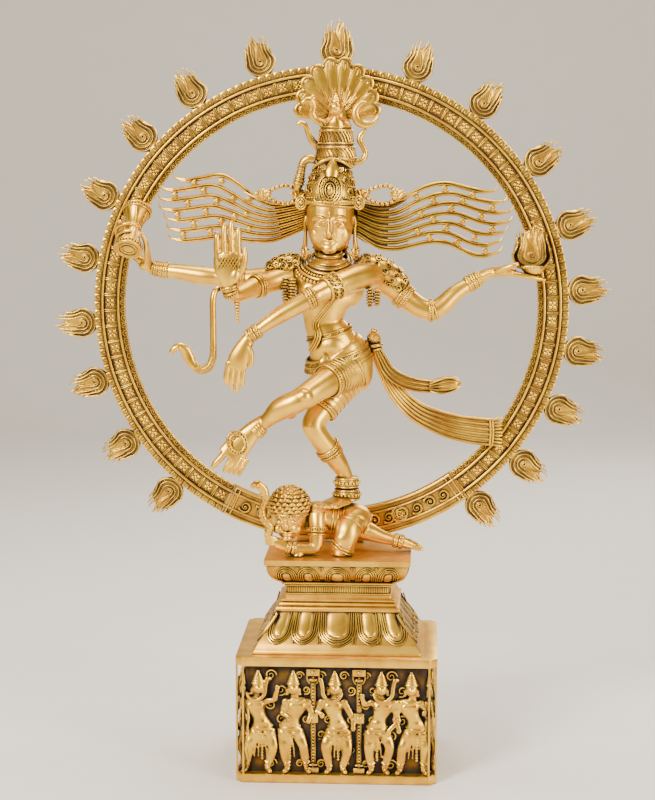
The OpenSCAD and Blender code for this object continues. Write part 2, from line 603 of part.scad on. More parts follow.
lower_box();
relief_front();
relief_back();
relief_left();
relief_right();
lotus_pedestal();
seat_plate();
pedestal_bolts();
ring_arch();
ring_foot_left();
ring_foot_right();
ring_studs();
top_flame();
for (i = [1 : 9]) {
    flame_left(i);
    flame_right(i);
}
torso();
head();
crown();
crown_bust();
crown_fan();
crescent();
collar();
waist_belt();
loincloth();
hair_left();
hair_right();
rear_right_arm();
rear_left_arm();
front_right_arm();
front_left_arm();
drum();
fire_bowl();
arm_snake();
sash_knot();
sash_upper();
sash_lower();
standing_leg();
raised_leg();
dwarf_body();
dwarf_head();
dwarf_snake();
figure_studs();
stud_nuts();
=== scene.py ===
# %% [markdown]
# A cast brass dancer in a ring of flames, on a lotus pedestal over a carved box.
# Everything is in metres, in the same frame as the solid model, so a piece goes where the model says.
# MM turns the millimetres of a drawing into metres.

# %% Load the frame
import bmesh
import bpy
import math
import numpy as np
from mathutils import Matrix, Vector


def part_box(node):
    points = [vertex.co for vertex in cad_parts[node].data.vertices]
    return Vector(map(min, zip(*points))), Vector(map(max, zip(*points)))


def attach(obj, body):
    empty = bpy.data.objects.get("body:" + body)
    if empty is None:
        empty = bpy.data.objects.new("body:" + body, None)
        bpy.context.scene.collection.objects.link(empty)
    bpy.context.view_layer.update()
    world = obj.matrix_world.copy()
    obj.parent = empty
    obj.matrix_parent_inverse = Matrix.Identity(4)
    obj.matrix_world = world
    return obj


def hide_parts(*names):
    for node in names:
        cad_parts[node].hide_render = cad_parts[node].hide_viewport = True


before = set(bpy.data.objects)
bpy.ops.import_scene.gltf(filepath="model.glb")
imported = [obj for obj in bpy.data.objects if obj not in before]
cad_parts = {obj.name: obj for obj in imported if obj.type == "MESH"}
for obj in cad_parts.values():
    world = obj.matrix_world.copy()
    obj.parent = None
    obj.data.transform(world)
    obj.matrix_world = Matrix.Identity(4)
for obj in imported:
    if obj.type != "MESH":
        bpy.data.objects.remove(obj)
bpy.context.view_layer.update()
MM = 0.001
ORIGIN, UP = (0, 0, 0), (0, 0, 1)
FASTENERS = ("pedestal_bolts", "ring_studs", "figure_studs", "stud_nuts")

# %% [markdown]
# The driving places. The ring's centre and radius come from its arch, the figure's own origin from the
# head (which is drawn 2 mm left of it) and the seat plate it stands on.

# %% Driving places
arch_low, arch_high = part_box("ring_arch")
RING_OUTER = (arch_high.x - arch_low.x) / 2
BAND_WIDE = 37.5 * MM
RING_INNER = RING_OUTER - BAND_WIDE
RING_AT = Vector(((arch_low.x + arch_high.x) / 2, (arch_low.y + arch_high.y) / 2, arch_high.z - RING_OUTER))
seat_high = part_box("seat_plate")[1]
head_low, head_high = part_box("head")
FIGURE_AT = Vector(((head_low.x + head_high.x) / 2 + 2 * MM, 0, seat_high.z))
box_low, box_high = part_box("lower_box")
print("ring centre", [round(v / MM, 1) for v in RING_AT], "radius", round(RING_OUTER / MM, 1))

# %% [markdown]
# The camera stands a little right of the middle and a little above, with an 85 mm lens, and the floor and
# the backdrop are one plain pale sheet that curves up behind the statue, as in a small studio.

# %% Camera
CAMERA_TURN = math.radians(3.0)
CAMERA_RISE = math.radians(8.0)
CAMERA_FAR = 2.17
LOOK_AT = Vector((-0.014, 0, 0.427))
back = Vector((math.sin(CAMERA_TURN) * math.cos(CAMERA_RISE),
               -math.cos(CAMERA_TURN) * math.cos(CAMERA_RISE), math.sin(CAMERA_RISE)))
camera = bpy.data.objects.new("camera", bpy.data.cameras.new("camera"))
bpy.context.scene.collection.objects.link(camera)
camera.location = LOOK_AT + back * CAMERA_FAR
camera.rotation_mode = "QUATERNION"
camera.rotation_quaternion = (-back).to_track_quat("-Z", "Y")
camera.data.lens = 85
camera.data.clip_end = 50
bpy.context.scene.camera = camera

# %% [markdown]
# Colours are written as the hex values a paint chart gives, and linear() turns them into the light that
# the shader works in. node() adds a shader node with its links, ramp() makes a soft step of a value,
# between() stretches it over a range, and blend() mixes two colours by it.

# %% Material helpers
def linear(hex_colour):
    parts = [int(hex_colour[i:i + 2], 16) / 255 for i in (1, 3, 5)]
    return [c / 12.92 if c <= 0.04045 else ((c + 0.055) / 1.055) ** 2.4 for c in parts] + [1]


def node(tree, kind, settings=(), **inputs):
    made = tree.nodes.new(kind)
    for key, value in dict(settings).items():
        setattr(made, key, value)
    for key, value in inputs.items():
        name = key.replace("_", " ")
        socket = made.inputs[int(key[1:])] if key[1:].isdigit() else made.inputs[name]
        if isinstance(value, bpy.types.NodeSocket):
            tree.links.new(value, socket)
        else:
            socket.default_value = value
    return made


def ramp(tree, factor, low, high):
    made = node(tree, "ShaderNodeMapRange", {"interpolation_type": "SMOOTHSTEP"}, Value=factor)
    made.inputs["From Min"].default_value = low
    made.inputs["From Max"].default_value = high
    return made.outputs["Result"]


def blend(tree, factor, a, b):
    made = node(tree, "ShaderNodeMix", {"data_type": "RGBA"}, i0=factor)
    for socket, value in ((made.inputs[6], a), (made.inputs[7], b)):
        if isinstance(value, bpy.types.NodeSocket):
            tree.links.new(value, socket)
        else:
            socket.default_value = value
    return made.outputs[2]


def between(tree, factor, a, b):
    made = node(tree, "ShaderNodeMapRange", Value=factor)
    made.inputs["To Min"].default_value = a
    made.inputs["To Max"].default_value = b
    return made.outputs["Result"]

# %% [markdown]
# Antique brass: a yellow copper-zinc alloy, sand cast, filed and buffed. Before the last buffing the
# founder floods it with a dark patina and wipes it off again, so it stays black-brown only where a cloth
# can't reach. Ambient occlusion measures just that: how closed in a point is. On the buffed skin this
# darkening is partly patina and partly painted shade, darkening the face and body where shade falls.
# The buffed metal is yellow and smooth, the patina is brown, dull and hardly metal. A fine grain is
# left from the sand, about 0.5 mm, and wide soft clouds show where the buffing was heavier.

# %% Antique brass
def antique_brass(name, bright, middle, patina, reach, low, high, polish, grain=0.06):
    material = bpy.data.materials.new(name)
    material.use_nodes = True
    tree = material.node_tree
    shader = tree.nodes["Principled BSDF"]
    place = node(tree, "ShaderNodeTexCoord").outputs["Object"]
    clouds = node(tree, "ShaderNodeTexNoise", Vector=place, Scale=1 / (22 * MM), Detail=3.0)
    sand = node(tree, "ShaderNodeTexNoise", Vector=place, Scale=1 / (1.1 * MM), Detail=2.0)
    open_sky = node(tree, "ShaderNodeAmbientOcclusion", {"samples": 8}, Distance=reach)
    patchy = node(tree, "ShaderNodeMath", {"operation": "MULTIPLY_ADD"}, i0=clouds.outputs["Fac"],
                  i1=0.22, i2=open_sky.outputs["AO"])
    speckled = node(tree, "ShaderNodeMath", {"operation": "MULTIPLY_ADD"}, i0=sand.outputs["Fac"],
                    i1=0.12, i2=patchy.outputs[0])
    # Dark where the metal is closed in: patina in the hollows, and on the skin also painted shade.
    clear_of_patina_and_shade = ramp(tree, speckled.outputs[0], low + 0.17, high + 0.17)
    metal = blend(tree, ramp(tree, clouds.outputs["Fac"], 0.35, 0.65), linear(middle), linear(bright))
    tree.links.new(blend(tree, clear_of_patina_and_shade, linear(patina), metal), shader.inputs["Base Color"])
    tree.links.new(between(tree, clear_of_patina_and_shade, 0.12, 1.0), shader.inputs["Metallic"])
    rough = node(tree, "ShaderNodeMath", {"operation": "MULTIPLY_ADD"}, i0=sand.outputs["Fac"],
                 i1=grain, i2=between(tree, clear_of_patina_and_shade, 0.62, polish))
    tree.links.new(rough.outputs[0], shader.inputs["Roughness"])
    bump = node(tree, "ShaderNodeBump", Height=sand.outputs["Fac"], Strength=0.12, Distance=0.15 * MM)
    tree.links.new(bump.outputs["Normal"], shader.inputs["Normal"])
    return material


BRASS = antique_brass("antique_brass", "#FACA42", "#E6AD30", "#150B03", 6 * MM, 0.54, 0.92, 0.29)
# The skin's patina darkening is partly painted shade: it darkens the face and body where shade falls.
SKIN = antique_brass("buffed_brass_patina_and_painted_shade", "#FBCB44", "#EBB336", "#3E2508", 8 * MM, 0.34, 0.76, 0.32)
CARVED = antique_brass("carved_brass", "#F7C640", "#DFA730", "#0F0803", 9 * MM, 0.60, 0.97, 0.28)
PLAIN = antique_brass("plate_brass", "#F5C446", "#E1AB38", "#3E2508", 7 * MM, 0.20, 0.70, 0.36)
AGED = antique_brass("aged_brass", "#E4AE3A", "#C18C2A", "#140B04", 8 * MM, 0.50, 0.96, 0.34)
GROUND = antique_brass("patinated_ground", "#8A641C", "#583B10", "#100804", 12 * MM, 0.58, 1.04, 0.45)

# %% [markdown]
# Zinc-plated steel for the studs, bolts and nuts inside: bluish grey with a fine spangle.

# %% Plated steel
def plated_steel():
    material = bpy.data.materials.new("zinc_plated_steel")
    material.use_nodes = True
    tree = material.node_tree
    shader = tree.nodes["Principled BSDF"]
    place = node(tree, "ShaderNodeTexCoord").outputs["Object"]
    spangle = node(tree, "ShaderNodeTexVoronoi", Vector=place, Scale=1 / (1.5 * MM))
    colour = blend(tree, spangle.outputs["Distance"], linear("#9FA4A8"), linear("#C4C8CB"))
    tree.links.new(colour, shader.inputs["Base Color"])
    tree.links.new(between(tree, spangle.outputs["Distance"], 0.3, 0.45), shader.inputs["Roughness"])
    shader.inputs["Metallic"].default_value = 1
    return material


STEEL = plated_steel()
for name in FASTENERS:
    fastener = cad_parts[name]
    fastener.data.materials.clear()
    fastener.data.materials.append(STEEL)

# %% [markdown]
# Shape helpers. Everything is deselected first, because an operator acts on all that is selected.
# adopt() closes a piece: its place goes into its mesh, it gets its material and it rides on the body.

# %% Shape helpers
def only(thing):
    for other in bpy.context.selected_objects:
        other.select_set(False)
    thing.select_set(True)
    bpy.context.view_layer.objects.active = thing


def outward(thing):
    only(thing)
    bpy.ops.object.mode_set(mode="EDIT")
    bpy.ops.mesh.select_all(action="SELECT")
    bpy.ops.mesh.remove_doubles(threshold=0.01 * MM)
    bpy.ops.mesh.normals_make_consistent(inside=False)
    bpy.ops.object.mode_set(mode="OBJECT")


def apply(thing, kind, **settings):
    only(thing)
    modifier = thing.modifiers.new(kind.lower(), kind)
    for key, value in settings.items():
        setattr(modifier, key, value)
    bpy.ops.object.modifier_apply(modifier=modifier.name)


def adopt(thing, material, angle=40, replaces=()):
    only(thing)
    bpy.ops.object.transform_apply(location=True, rotation=True, scale=True)
    bpy.ops.object.shade_smooth_by_angle(angle=math.radians(angle))
    thing.data.materials.clear()
    thing.data.materials.append(material)
    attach(thing, "root")
    if replaces:
        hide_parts(*replaces)
    print(thing.name, len(thing.data.polygons), "faces")
    return thing


def join(name, things):
    only(things[0])
    for thing in things:
        thing.select_set(True)
    bpy.ops.object.join()
    joined = bpy.context.view_layer.objects.active
    joined.name = name
    return joined


def new_mesh(name, points, faces):
    mesh = bpy.data.meshes.new(name)
    mesh.from_pydata(points, [], faces)
    mesh.update()
    thing = bpy.data.objects.new(name, mesh)
    bpy.context.scene.collection.objects.link(thing)
    return thing

# %% [markdown]
# Three ways to make a shape. loft() carries an ellipse along given stations, with a smooth curve
# between them, which suits limbs. ball() is a sphere pulled to size. repeat() sets many copies of one
# small unit, which suits a border: the unit is modelled once and set at every place as one mesh.
# placed_copy() sets a single copy, and cast() melts overlapping shapes into one skin.

# %% Lofts, balls and repeats
def angles(count):
    return [2 * math.pi * k / count for k in range(count)]


def curve_through(rows, steps):
    rows = [np.array(r, float) for r in rows]
    padded = [2 * rows[0] - rows[1]] + rows + [2 * rows[-1] - rows[-2]]
    out = []
    for i in range(1, len(padded) - 2):
        p0, p1, p2, p3 = padded[i - 1:i + 3]
        for k in range(steps):
            t = k / steps
            out.append(0.5 * (2 * p1 + (p2 - p0) * t + (2 * p0 - 5 * p1 + 4 * p2 - p3) * t ** 2
                              + (3 * p1 - p0 - 3 * p2 + p3) * t ** 3))
    out.append(rows[-1])
    return out


def sweep_data(rows, sides, up=(0, 1, 0)):
    """Points and faces of a closed tube whose rows are x, y, z, radius across, radius along up."""
    points, faces = [], []
    up = np.array(up, float)
    for i, row in enumerate(rows):
        ahead = rows[min(i + 1, len(rows) - 1)][:3] - rows[max(i - 1, 0)][:3]
        ahead = ahead / (np.linalg.norm(ahead) or 1)
        across = np.cross(ahead, up)
        if np.linalg.norm(across) < 0.05:
            across = np.array((1.0, 0, 0))
        across = across / np.linalg.norm(across)
        rise = np.cross(across, ahead)
        for a in angles(sides):
            points.append(row[:3] + (row[3] * math.cos(a) * across + row[4] * math.sin(a) * rise))
    for i in range(len(rows) - 1):
        for k in range(sides):
            a, b = i * sides + k, i * sides + (k + 1) % sides
            faces.append((a, b, b + sides, a + sides))
    last = (len(rows) - 1) * sides
    faces.append(tuple(range(sides - 1, -1, -1)))
    faces.append(tuple(range(last, last + sides)))
    return points, faces


def loft(rows, sides, steps, up=(0, 1, 0), at=FIGURE_AT):
    smooth = curve_through(rows, steps)
    for row in smooth:
        row[3:5] = np.maximum(row[3:5], 0.15)
    points, faces = sweep_data(smooth, sides, up)
    return new_mesh("loft", [p * MM + np.array(at) for p in points], faces)


def ball(x, y, z, rx, ry, rz, turn=0, at=FIGURE_AT, segments=20, rings=12):
    bpy.ops.mesh.primitive_uv_sphere_add(segments=segments, ring_count=rings, radius=MM,
                                         location=Vector(at) + Vector((x, y, z)) * MM,
                                         rotation=(0, math.radians(turn), 0))
    made = bpy.context.active_object
    made.scale = (rx, ry, rz)
    bpy.ops.object.transform_apply(location=True, rotation=True, scale=True)
    return made


def repeat(name, unit, places):
    """One object from many placed copies of a unit's mesh; the unit itself goes."""
    count = len(unit.data.vertices)
    flat = np.empty(count * 3)
    unit.data.vertices.foreach_get("co", flat)
    local = np.c_[flat.reshape(-1, 3), np.ones(count)]
    loops = [tuple(p.vertices) for p in unit.data.polygons]
    points, faces = [], []
    for n, place in enumerate(places):
        matrix = np.array(place)
        points.append((local @ matrix.T)[:, :3])
        flip = np.linalg.det(matrix[:3, :3]) < 0
        for loop in loops:
            face = tuple(v + n * count for v in loop)
            faces.append(face[::-1] if flip else face)
    made = new_mesh(name, np.concatenate(points), faces)
    bpy.data.objects.remove(unit)
    return made


def cast(name, things, voxel, smooth=4, factor=0.5, keep=0.5):
    """Melts overlapping shapes into one skin, as wax is before casting, and thins its flat stretches."""
    made = join(name, things)
    apply(made, "REMESH", mode="VOXEL", voxel_size=voxel * MM)
    apply(made, "SMOOTH", factor=factor, iterations=smooth)
    apply(made, "DECIMATE", ratio=keep)
    return made


def placed_copy(name, source, place):
    copy = bpy.data.objects.new(name, source.data.copy())
    bpy.context.scene.collection.objects.link(copy)
    copy.data.transform(place)
    return copy

# %% [markdown]
# A plain pale floor that curves up behind, and four soft boxes: a big one high on the left, a narrow
# weaker one on the right, one overhead, and a dim one behind for the edges. Brass shows what it mirrors,
# so the room is darker than the lamps and the metal gets bright runs and brown turns.

# %% Floor and lights
bpy.ops.mesh.primitive_plane_add(size=1, location=(0, 0.6, 0))
floor = bpy.context.active_object
floor.name = "studio_floor"
only(floor)
bpy.ops.object.mode_set(mode="EDIT")
bpy.ops.transform.resize(value=(9, 5.5, 1))
bpy.ops.mesh.select_mode(type="EDGE")
bpy.ops.mesh.select_all(action="DESELECT")
bpy.ops.object.mode_set(mode="OBJECT")
for edge in floor.data.edges:
    edge.select = all(floor.data.vertices[i].co.y > 2 for i in edge.vertices)
bpy.ops.object.mode_set(mode="EDIT")
bpy.ops.mesh.extrude_region_move(TRANSFORM_OT_translate={"value": (0, 0, 4)})
bpy.ops.object.mode_set(mode="OBJECT")
apply(floor, "BEVEL", width=1.0, segments=12, limit_method="ANGLE")
bpy.ops.object.shade_smooth()
plaster = bpy.data.materials.new("pale_plaster")
plaster.use_nodes = True
plaster_shader = plaster.node_tree.nodes["Principled BSDF"]
plaster_place = node(plaster.node_tree, "ShaderNodeTexCoord").outputs["Object"]
plaster_grain = node(plaster.node_tree, "ShaderNodeTexNoise", Vector=plaster_place, Scale=1 / (60 * MM))
plaster.node_tree.links.new(blend(plaster.node_tree, plaster_grain.outputs["Fac"], linear("#D9D5CE"),
                                  linear("#DEDAD3")), plaster_shader.inputs["Base Color"])
plaster_shader.inputs["Roughness"].default_value = 0.85
floor.data.materials.append(plaster)


def soft_box(name, place, aim, width, height, watts, hex_colour):
    data = bpy.data.lights.new(name, "AREA")
    data.shape = "RECTANGLE"
    data.size, data.size_y, data.energy = width, height, watts
    data.color = linear(hex_colour)[:3]
    lamp = bpy.data.objects.new(name, data)
    bpy.context.scene.collection.objects.link(lamp)
    lamp.location = place
    lamp.rotation_mode = "QUATERNION"
    lamp.rotation_quaternion = (Vector(aim) - Vector(place)).to_track_quat("-Z", "Y")
    return lamp


soft_box("key", (-1.5, -2.1, 1.9), (0, 0, 0.42), 0.9, 1.2, 150, "#FFF7EA")
soft_box("fill", (2.0, -1.7, 0.9), (0, 0, 0.40), 0.6, 1.7, 74, "#FFF4E4")
soft_box("overhead", (0.1, 0.2, 2.4), (0, 0, 0.4), 1.4, 1.0, 72, "#FFF8EE")
soft_box("rim", (0.9, 2.0, 1.5), (0, 0, 0.5), 0.9, 1.2, 30, "#FFF6EA")
world = bpy.data.worlds.new("studio") if not bpy.context.scene.world else bpy.context.scene.world
bpy.context.scene.world = world
world.use_nodes = True
world.node_tree.nodes["Background"].inputs["Color"].default_value = linear("#C9BFB2")
world.node_tree.nodes["Background"].inputs["Strength"].default_value = 0.38

# %% [markdown]
# The arch of the ring. It could be a flat ring with a displacement, but a real one is a swept moulding
# with separate ornament struck on it, so its section is drawn once and spun: a thin lace band inside, a
# smooth ridge, a sunk channel for the flowers, a second ridge, and a thin border outside.

# %% Ring: spin the section
JOINTS = (-54.0, 242.0)
CHANNEL = 18.5
VINE_RADIUS, VINE_PITCH = 257.5, 16.0


def ring_place(angle, offset, depth, side=1, turn=0, mirror=False):
    """A place on the ring: X along it, Y outward, Z out of its face."""
    a = math.radians(angle)
    out = Vector((math.cos(a), 0, math.sin(a)))
    face = Vector((0, -side, 0))
    along = out.cross(face)
    if mirror:
        along = -along
    place = Matrix((along, out, face)).transposed().to_4x4()
    place.translation = RING_AT + out * (RING_INNER + offset * MM) + face * depth * MM
    return place @ Matrix.Rotation(math.radians(turn), 4, "Z")


def arc_rows(start, end, offset, depth, side, thick, high, count):
    """Stations of a cord that follows the ring."""
    places = [ring_place(start + (end - start) * k / count, offset, depth, side) for k in range(count + 1)]
    return [[*place.translation / MM, thick, high] for place in places]


def rounded(low, high, top, base, steps=6):
    """A ridge between two offsets, rounded over."""
    half, middle = (high - low) / 2, (high + low) / 2
    return [(middle - half * math.cos(math.pi * k / steps),
             base + (top - base) * math.sin(math.pi * k / steps)) for k in range(steps + 1)]


side_line = ([(1.6, 0.6), (2.2, 2.0), (7.4, 2.2)] + rounded(7.5, 11.0, 5.5, 2.6)
             + [(11.3, 2.9), (25.7, 2.9)] + rounded(26.0, 29.5, 5.5, 2.6)
             + [(29.8, 2.4), (36.6, 2.2), (37.2, 1.2)])
section = side_line + [(r, -h) for r, h in reversed(side_line)]


def spun_arc(name, start, end):
    a = math.radians(start)
    points = [RING_AT + Vector(((RING_INNER + r * MM) * math.cos(a), -h * MM,
                                (RING_INNER + r * MM) * math.sin(a))) for r, h in section]
    made = new_mesh(name, points, [tuple(range(len(points)))])
    only(made)
    bpy.ops.object.mode_set(mode="EDIT")
    bpy.ops.mesh.select_all(action="SELECT")
    bpy.ops.mesh.spin(steps=int(abs(end - start)), angle=math.radians(end - start), center=RING_AT,
                      axis=(0, 1, 0))
    bpy.ops.object.mode_set(mode="OBJECT")
    mesh = bmesh.new()
    mesh.from_mesh(made.data)
    boundary = [e for e in mesh.edges if e.is_boundary]
    bmesh.ops.holes_fill(mesh, edges=boundary)
    bmesh.ops.recalc_face_normals(mesh, faces=mesh.faces)
    mesh.to_mesh(made.data)
    mesh.free()
    return made


arch = spun_arc("ring_moulding", JOINTS[0], JOINTS[1])
adopt(arch, AGED, angle=50, replaces=("ring_arch",))
ridges = []
for side in (1, -1):
    for offset, depth, thick in ((9.25, 5.0, 1.5), (27.75, 5.0, 1.5), (2.3, 2.0, 0.8)):
        ridges.append(loft(arc_rows(*JOINTS, offset, depth, side, thick, thick, 220), 8, 1, at=ORIGIN))
adopt(join("ring_ridges", ridges), BRASS, angle=60)

# %% [markdown]
# The ornament of the ring: about 150 border leaves, 73 flower squares and 139 scrolls on each face. Each
# is modelled once and copied round the arc, front and back, the way a founder presses one stamp again
# and again. The leaf is a bevelled block with a sunk face; the flower is four lobes and a centre in a
# frame of double bars; the scroll is a spiral wire that thickens in the middle.

# %% Ring: border leaves
def arc_places(offset, pitch, depth, side):
    start, end = JOINTS
    count = int(round(math.radians(end - start) * (RING_INNER / MM + offset) / pitch))
    step = (end - start) / count
    return [ring_place(start + step * (i + 0.5), offset, depth, side) for i in range(count)]


def box_unit(width, height, low, high, bevel):
    bpy.ops.mesh.primitive_cube_add(size=1, location=(0, 0, (low + high) / 2 * MM))
    unit = bpy.context.active_object
    unit.scale = (width * MM, height * MM, (high - low) * MM)
    bpy.ops.object.transform_apply(location=True, rotation=True, scale=True)
    apply(unit, "BEVEL", width=bevel * MM, segments=2, limit_method="ANGLE")
    return unit


def leaf_unit():
    block = box_unit(7.9, 7.6, -3.5, 3.5, 0.9)
    parts = [block]
    for face in (1, -1):
        rim = []
        for k in range(13):
            a = math.pi * k / 12
            rim.append([2.5 * math.cos(a), -1.2 + 3.6 * math.sin(a), 3.5 * face, 0.62, 0.75])
        parts.append(loft([[2.5, -3.4, 3.5 * face, 0.5, 0.6]] + rim + [[-2.5, -3.4, 3.5 * face, 0.5, 0.6]],
                          6, 1, UP, ORIGIN))
        parts.append(ball(0, -1.4, 3.5 * face, 0.95, 1.5, 0.8, 0, ORIGIN, 8, 6))
    return join("leaf", parts)


leaves = repeat("ring_border_leaves", leaf_unit(), arc_places(33.5, 9.4, 0, 1))
adopt(leaves, BRASS)

# %% [markdown]
# The flower squares sit in the sunk channel. They could be a bump in the material, but they catch the
# light as real knobs do, so each is four lobes, four pearls and a raised centre between double bars.

# %% Ring: flower squares
def flower_unit():
    parts = []
    for k in range(4):
        a = math.radians(45 + 90 * k)
        parts.append(ball(3.3 * math.cos(a), 3.3 * math.sin(a), 0.5, 2.3, 2.3, 1.5, 0, ORIGIN, 8, 5))
        b = math.radians(90 * k)
        parts.append(ball(4.7 * math.cos(b), 4.7 * math.sin(b), 0.2, 1.1, 1.1, 1.2, 0, ORIGIN, 6, 4))
        parts.append(ball(6.0 * math.cos(a), 5.9 * math.sin(a), 0.0, 1.1, 1.1, 1.0, 0, ORIGIN, 6, 4))
    parts.append(ball(0, 0, 0.9, 1.7, 1.7, 1.5, 0, ORIGIN, 8, 5))
    for x in (-8.3, 8.3):
        bar = box_unit(0.95, 14.0, -0.6, 1.5, 0.3)
        bar.location.x = x * MM
        parts.append(bar)
    return join("flower", parts)


flower_places = [p for side in (1, -1) for p in arc_places(CHANNEL, 18.3, 2.9, side)]
adopt(repeat("ring_flowers", flower_unit(), flower_places), BRASS)

# %% [markdown]
# The lace is a row of C-scrolls along the inner edge. A spiral wire that swells in its middle gives the
# bright crescents, and two small leaves close the gap to the next one.

# %% Ring: lace scrolls
def scroll_rows(turns, wide, close, thick, steps=18, start=0.0, depth=1.0):
    rows = []
    for k in range(steps + 1):
        t = k / steps
        a = start + 2 * math.pi * turns * t
        r = wide + (close - wide) * t ** 0.8
        rows.append([r * math.cos(a), r * math.sin(a), 0,
                     thick * (0.55 + 0.75 * math.sin(math.pi * min(1, t * 1.6 + 0.12))), thick * depth])
    return rows


def lace_unit():
    spiral = loft(scroll_rows(1.15, 3.7, 1.3, 0.85, start=-0.6, depth=1.25), 6, 1, UP, ORIGIN)
    parts = [spiral, ball(0.3, 0, 0, 1.0, 1.0, 1.2, 0, ORIGIN, 8, 6),
             ball(4.3, -2.2, 0, 0.9, 1.2, 0.9, 0, ORIGIN, 8, 5),
             ball(4.2, 2.4, 0, 0.8, 1.3, 0.9, 0, ORIGIN, 8, 5)]
    return join("scroll", parts)


lace_places = [p for side in (1, -1) for p in arc_places(3.9, 9.0, 2.3, side)]
adopt(repeat("ring_lace", lace_unit(), lace_places), BRASS)

# %% [markdown]
# The feet of the ring keep the model's plain solids, and get raised rims and a running vine: a wave of
# spirals that turn left and right in turn, with a round rosette in the middle of the longer foot, and
# cross bars where the feet meet the arch.

# %% Ring: feet
def loop_flat(radius, tube):
    bpy.ops.mesh.primitive_torus_add(major_segments=32, minor_segments=7, major_radius=radius * MM,
                                     minor_radius=tube * MM)
    return bpy.context.active_object


foot_parts = []
for start, end in ((-88.0, -54.6), (242.6, 268.0)):
    for side in (1, -1):
        for offset, thick in ((2.0, 1.7), (9.3, 1.5), (27.8, 1.6), (35.5, 1.9)):
            foot_parts.append(loft(arc_rows(start, end, offset, 4.2, side, thick, 1.5, 40), 8, 1, at=ORIGIN))
vine_parts = []
for start, end in ((-84.0, -57.0), (245.0, 266.0)):
    count = int(math.radians(end - start) * VINE_RADIUS / VINE_PITCH)
    for side in (1, -1):
        for k in range(count):
            angle = start + (end - start) * (k + 0.5) / count
            curl = loft(scroll_rows(1.6, 7.8, 1.4, 1.45, start=0.4, depth=1.3), 6, 1, UP, ORIGIN)
            eye = ball(0.2, 0, 0.4, 1.6, 1.6, 1.3, 0, ORIGIN, 8, 6)
            sprout = ball(6.4, 5.4, 0, 3.0, 1.5, 1.5, 40, ORIGIN, 8, 6)
            unit = join("vine", [curl, eye, sprout])
            unit.data.transform(ring_place(angle, CHANNEL, 5.2, side, 180 * (k % 2), k % 2 == 1))
            vine_parts.append(unit)
for angle in (-54.9, -56.2, 242.9, 244.2):
    bar = box_unit(1.6, 36, -5.5, 5.5, 0.5)
    bar.data.transform(ring_place(angle, 18.8, 0, 1))
    foot_parts.append(bar)
for side in (1, -1):
    place = ring_place(-71.5, CHANNEL, 5.0, side)
    for radius, tube in ((8.6, 1.5), (5.4, 1.1)):
        loop = loop_flat(radius, tube)
        loop.data.transform(place)
        foot_parts.append(loop)
    for k in range(9):
        a = 2 * math.pi * k / 8
        petal = ball(3.2 * math.cos(a) * (k < 8), 3.2 * math.sin(a) * (k < 8), 0.4, 1.6, 1.6, 1.5, 0,
                     ORIGIN, 8, 6)
        petal.data.transform(place)
        foot_parts.append(petal)
feet = join("ring_foot_rims", foot_parts)
outward(feet)
adopt(feet, BRASS)
vine = join("ring_foot_vine", vine_parts)
outward(vine)
adopt(vine, CARVED)

# %% [markdown]
# The flames. A flame could be one flat leaf with drawn lines, but the real one is deeply grooved on both
# faces and ends in separate tongues, so it is built of wires: a spiral that opens into the longest
# tongue, and U-shaped ribs nested round it, whose ends flicker the same way. A thin web closes the
# grooves behind them. The shapes are melted into one casting, and copied round the ring, mirrored on
# the left.

# %% Flame
def flame_rows(reach, tip, side, bend):
    """One half of a U rib: from under the eye, round it, then up to a wavy tongue."""
    rows = []
    for k in range(9):
        a = math.pi / 2 * k / 8
        rows.append([side * reach * math.sin(a), 16 - reach * 0.93 * math.cos(a), 0, 1.35, 3.1])
    for k in range(1, 13):
        t = k / 12
        sway = bend * (1.9 * math.sin(2 * math.pi * (0.85 * t)) * t + 1.5 * t * t)
        x = side * reach * (1 - 0.17 * math.sin(math.pi * min(t * 0.75, 0.5)) - 0.04 * t) + sway
        thin = 1.3 if t < 0.6 else 1.3 - 1.9 * (t - 0.6) ** 1.2
        rows.append([x, 16 + (tip - 16) * t, 0, max(0.45, thin), max(0.8, 3.1 - 2.0 * t * t)])
    return rows


def flame_shapes(reaches, tips, bend=1.0):
    shapes = []
    for reach, tip in zip(reaches, tips):
        for side in (-1, 1):
            shapes.append(loft(flame_rows(reach, tip - (1.6 if side > 0 else 0), side, bend), 8, 2, UP,
                               ORIGIN))
    eye = []
    for k in range(25):
        t = k / 24
        a = math.radians(-200 + 560 * (1 - t))
        r = 0.5 + 3.9 * t
        eye.append([-r * math.cos(a), 15.6 + r * math.sin(a), 0, 1.15, 3.2])
    end = eye[-1]
    for x, y, wide in ((end[0] * 0.9, end[1] + 4, 1.3), (end[0] * 0.4, 27, 1.5), (-1.2, 34, 1.7),
                       (0.6, 41, 1.5), (1.6, 45.5, 1.1), (1.0, 48.4, 0.5)):
        eye.append([x, y, 0, wide, 3.0 if y < 40 else 1.6])
    shapes.append(loft(eye, 8, 2, UP, ORIGIN))
    shapes.append(loft([[3.4, 20, 0, 1.0, 2.6], [2.6, 26, 0, 1.2, 2.6], [1.8, 33, 0, 1.3, 2.4],
                        [3.6, 40, 0, 1.0, 1.6], [4.6, 44.5, 0, 0.4, 0.9]], 8, 4, UP, ORIGIN))
    web = [[0, -0.4, 0, 7.5, 1.0], [0, 2, 0, 10.5, 1.1], [0, 8, 0, 14.8, 1.1], [0, 16, 0, 16.6, 1.1],
           [0, 24, 0, 15.6, 1.1], [0.8, 29, 0, 13.6, 1.0], [1.6, 33, 0, 10.0, 0.9], [2.2, 37, 0, 5.0, 0.8],
           [2.4, 39, 0, 1.6, 0.5]]
    shapes.append(loft(web, 24, 3, UP, ORIGIN))
    shapes.append(loft([[0, -1.2, 0, 6.5, 2.9], [0, 1.5, 0, 8.2, 2.6]], 16, 2, UP, ORIGIN))
    return shapes


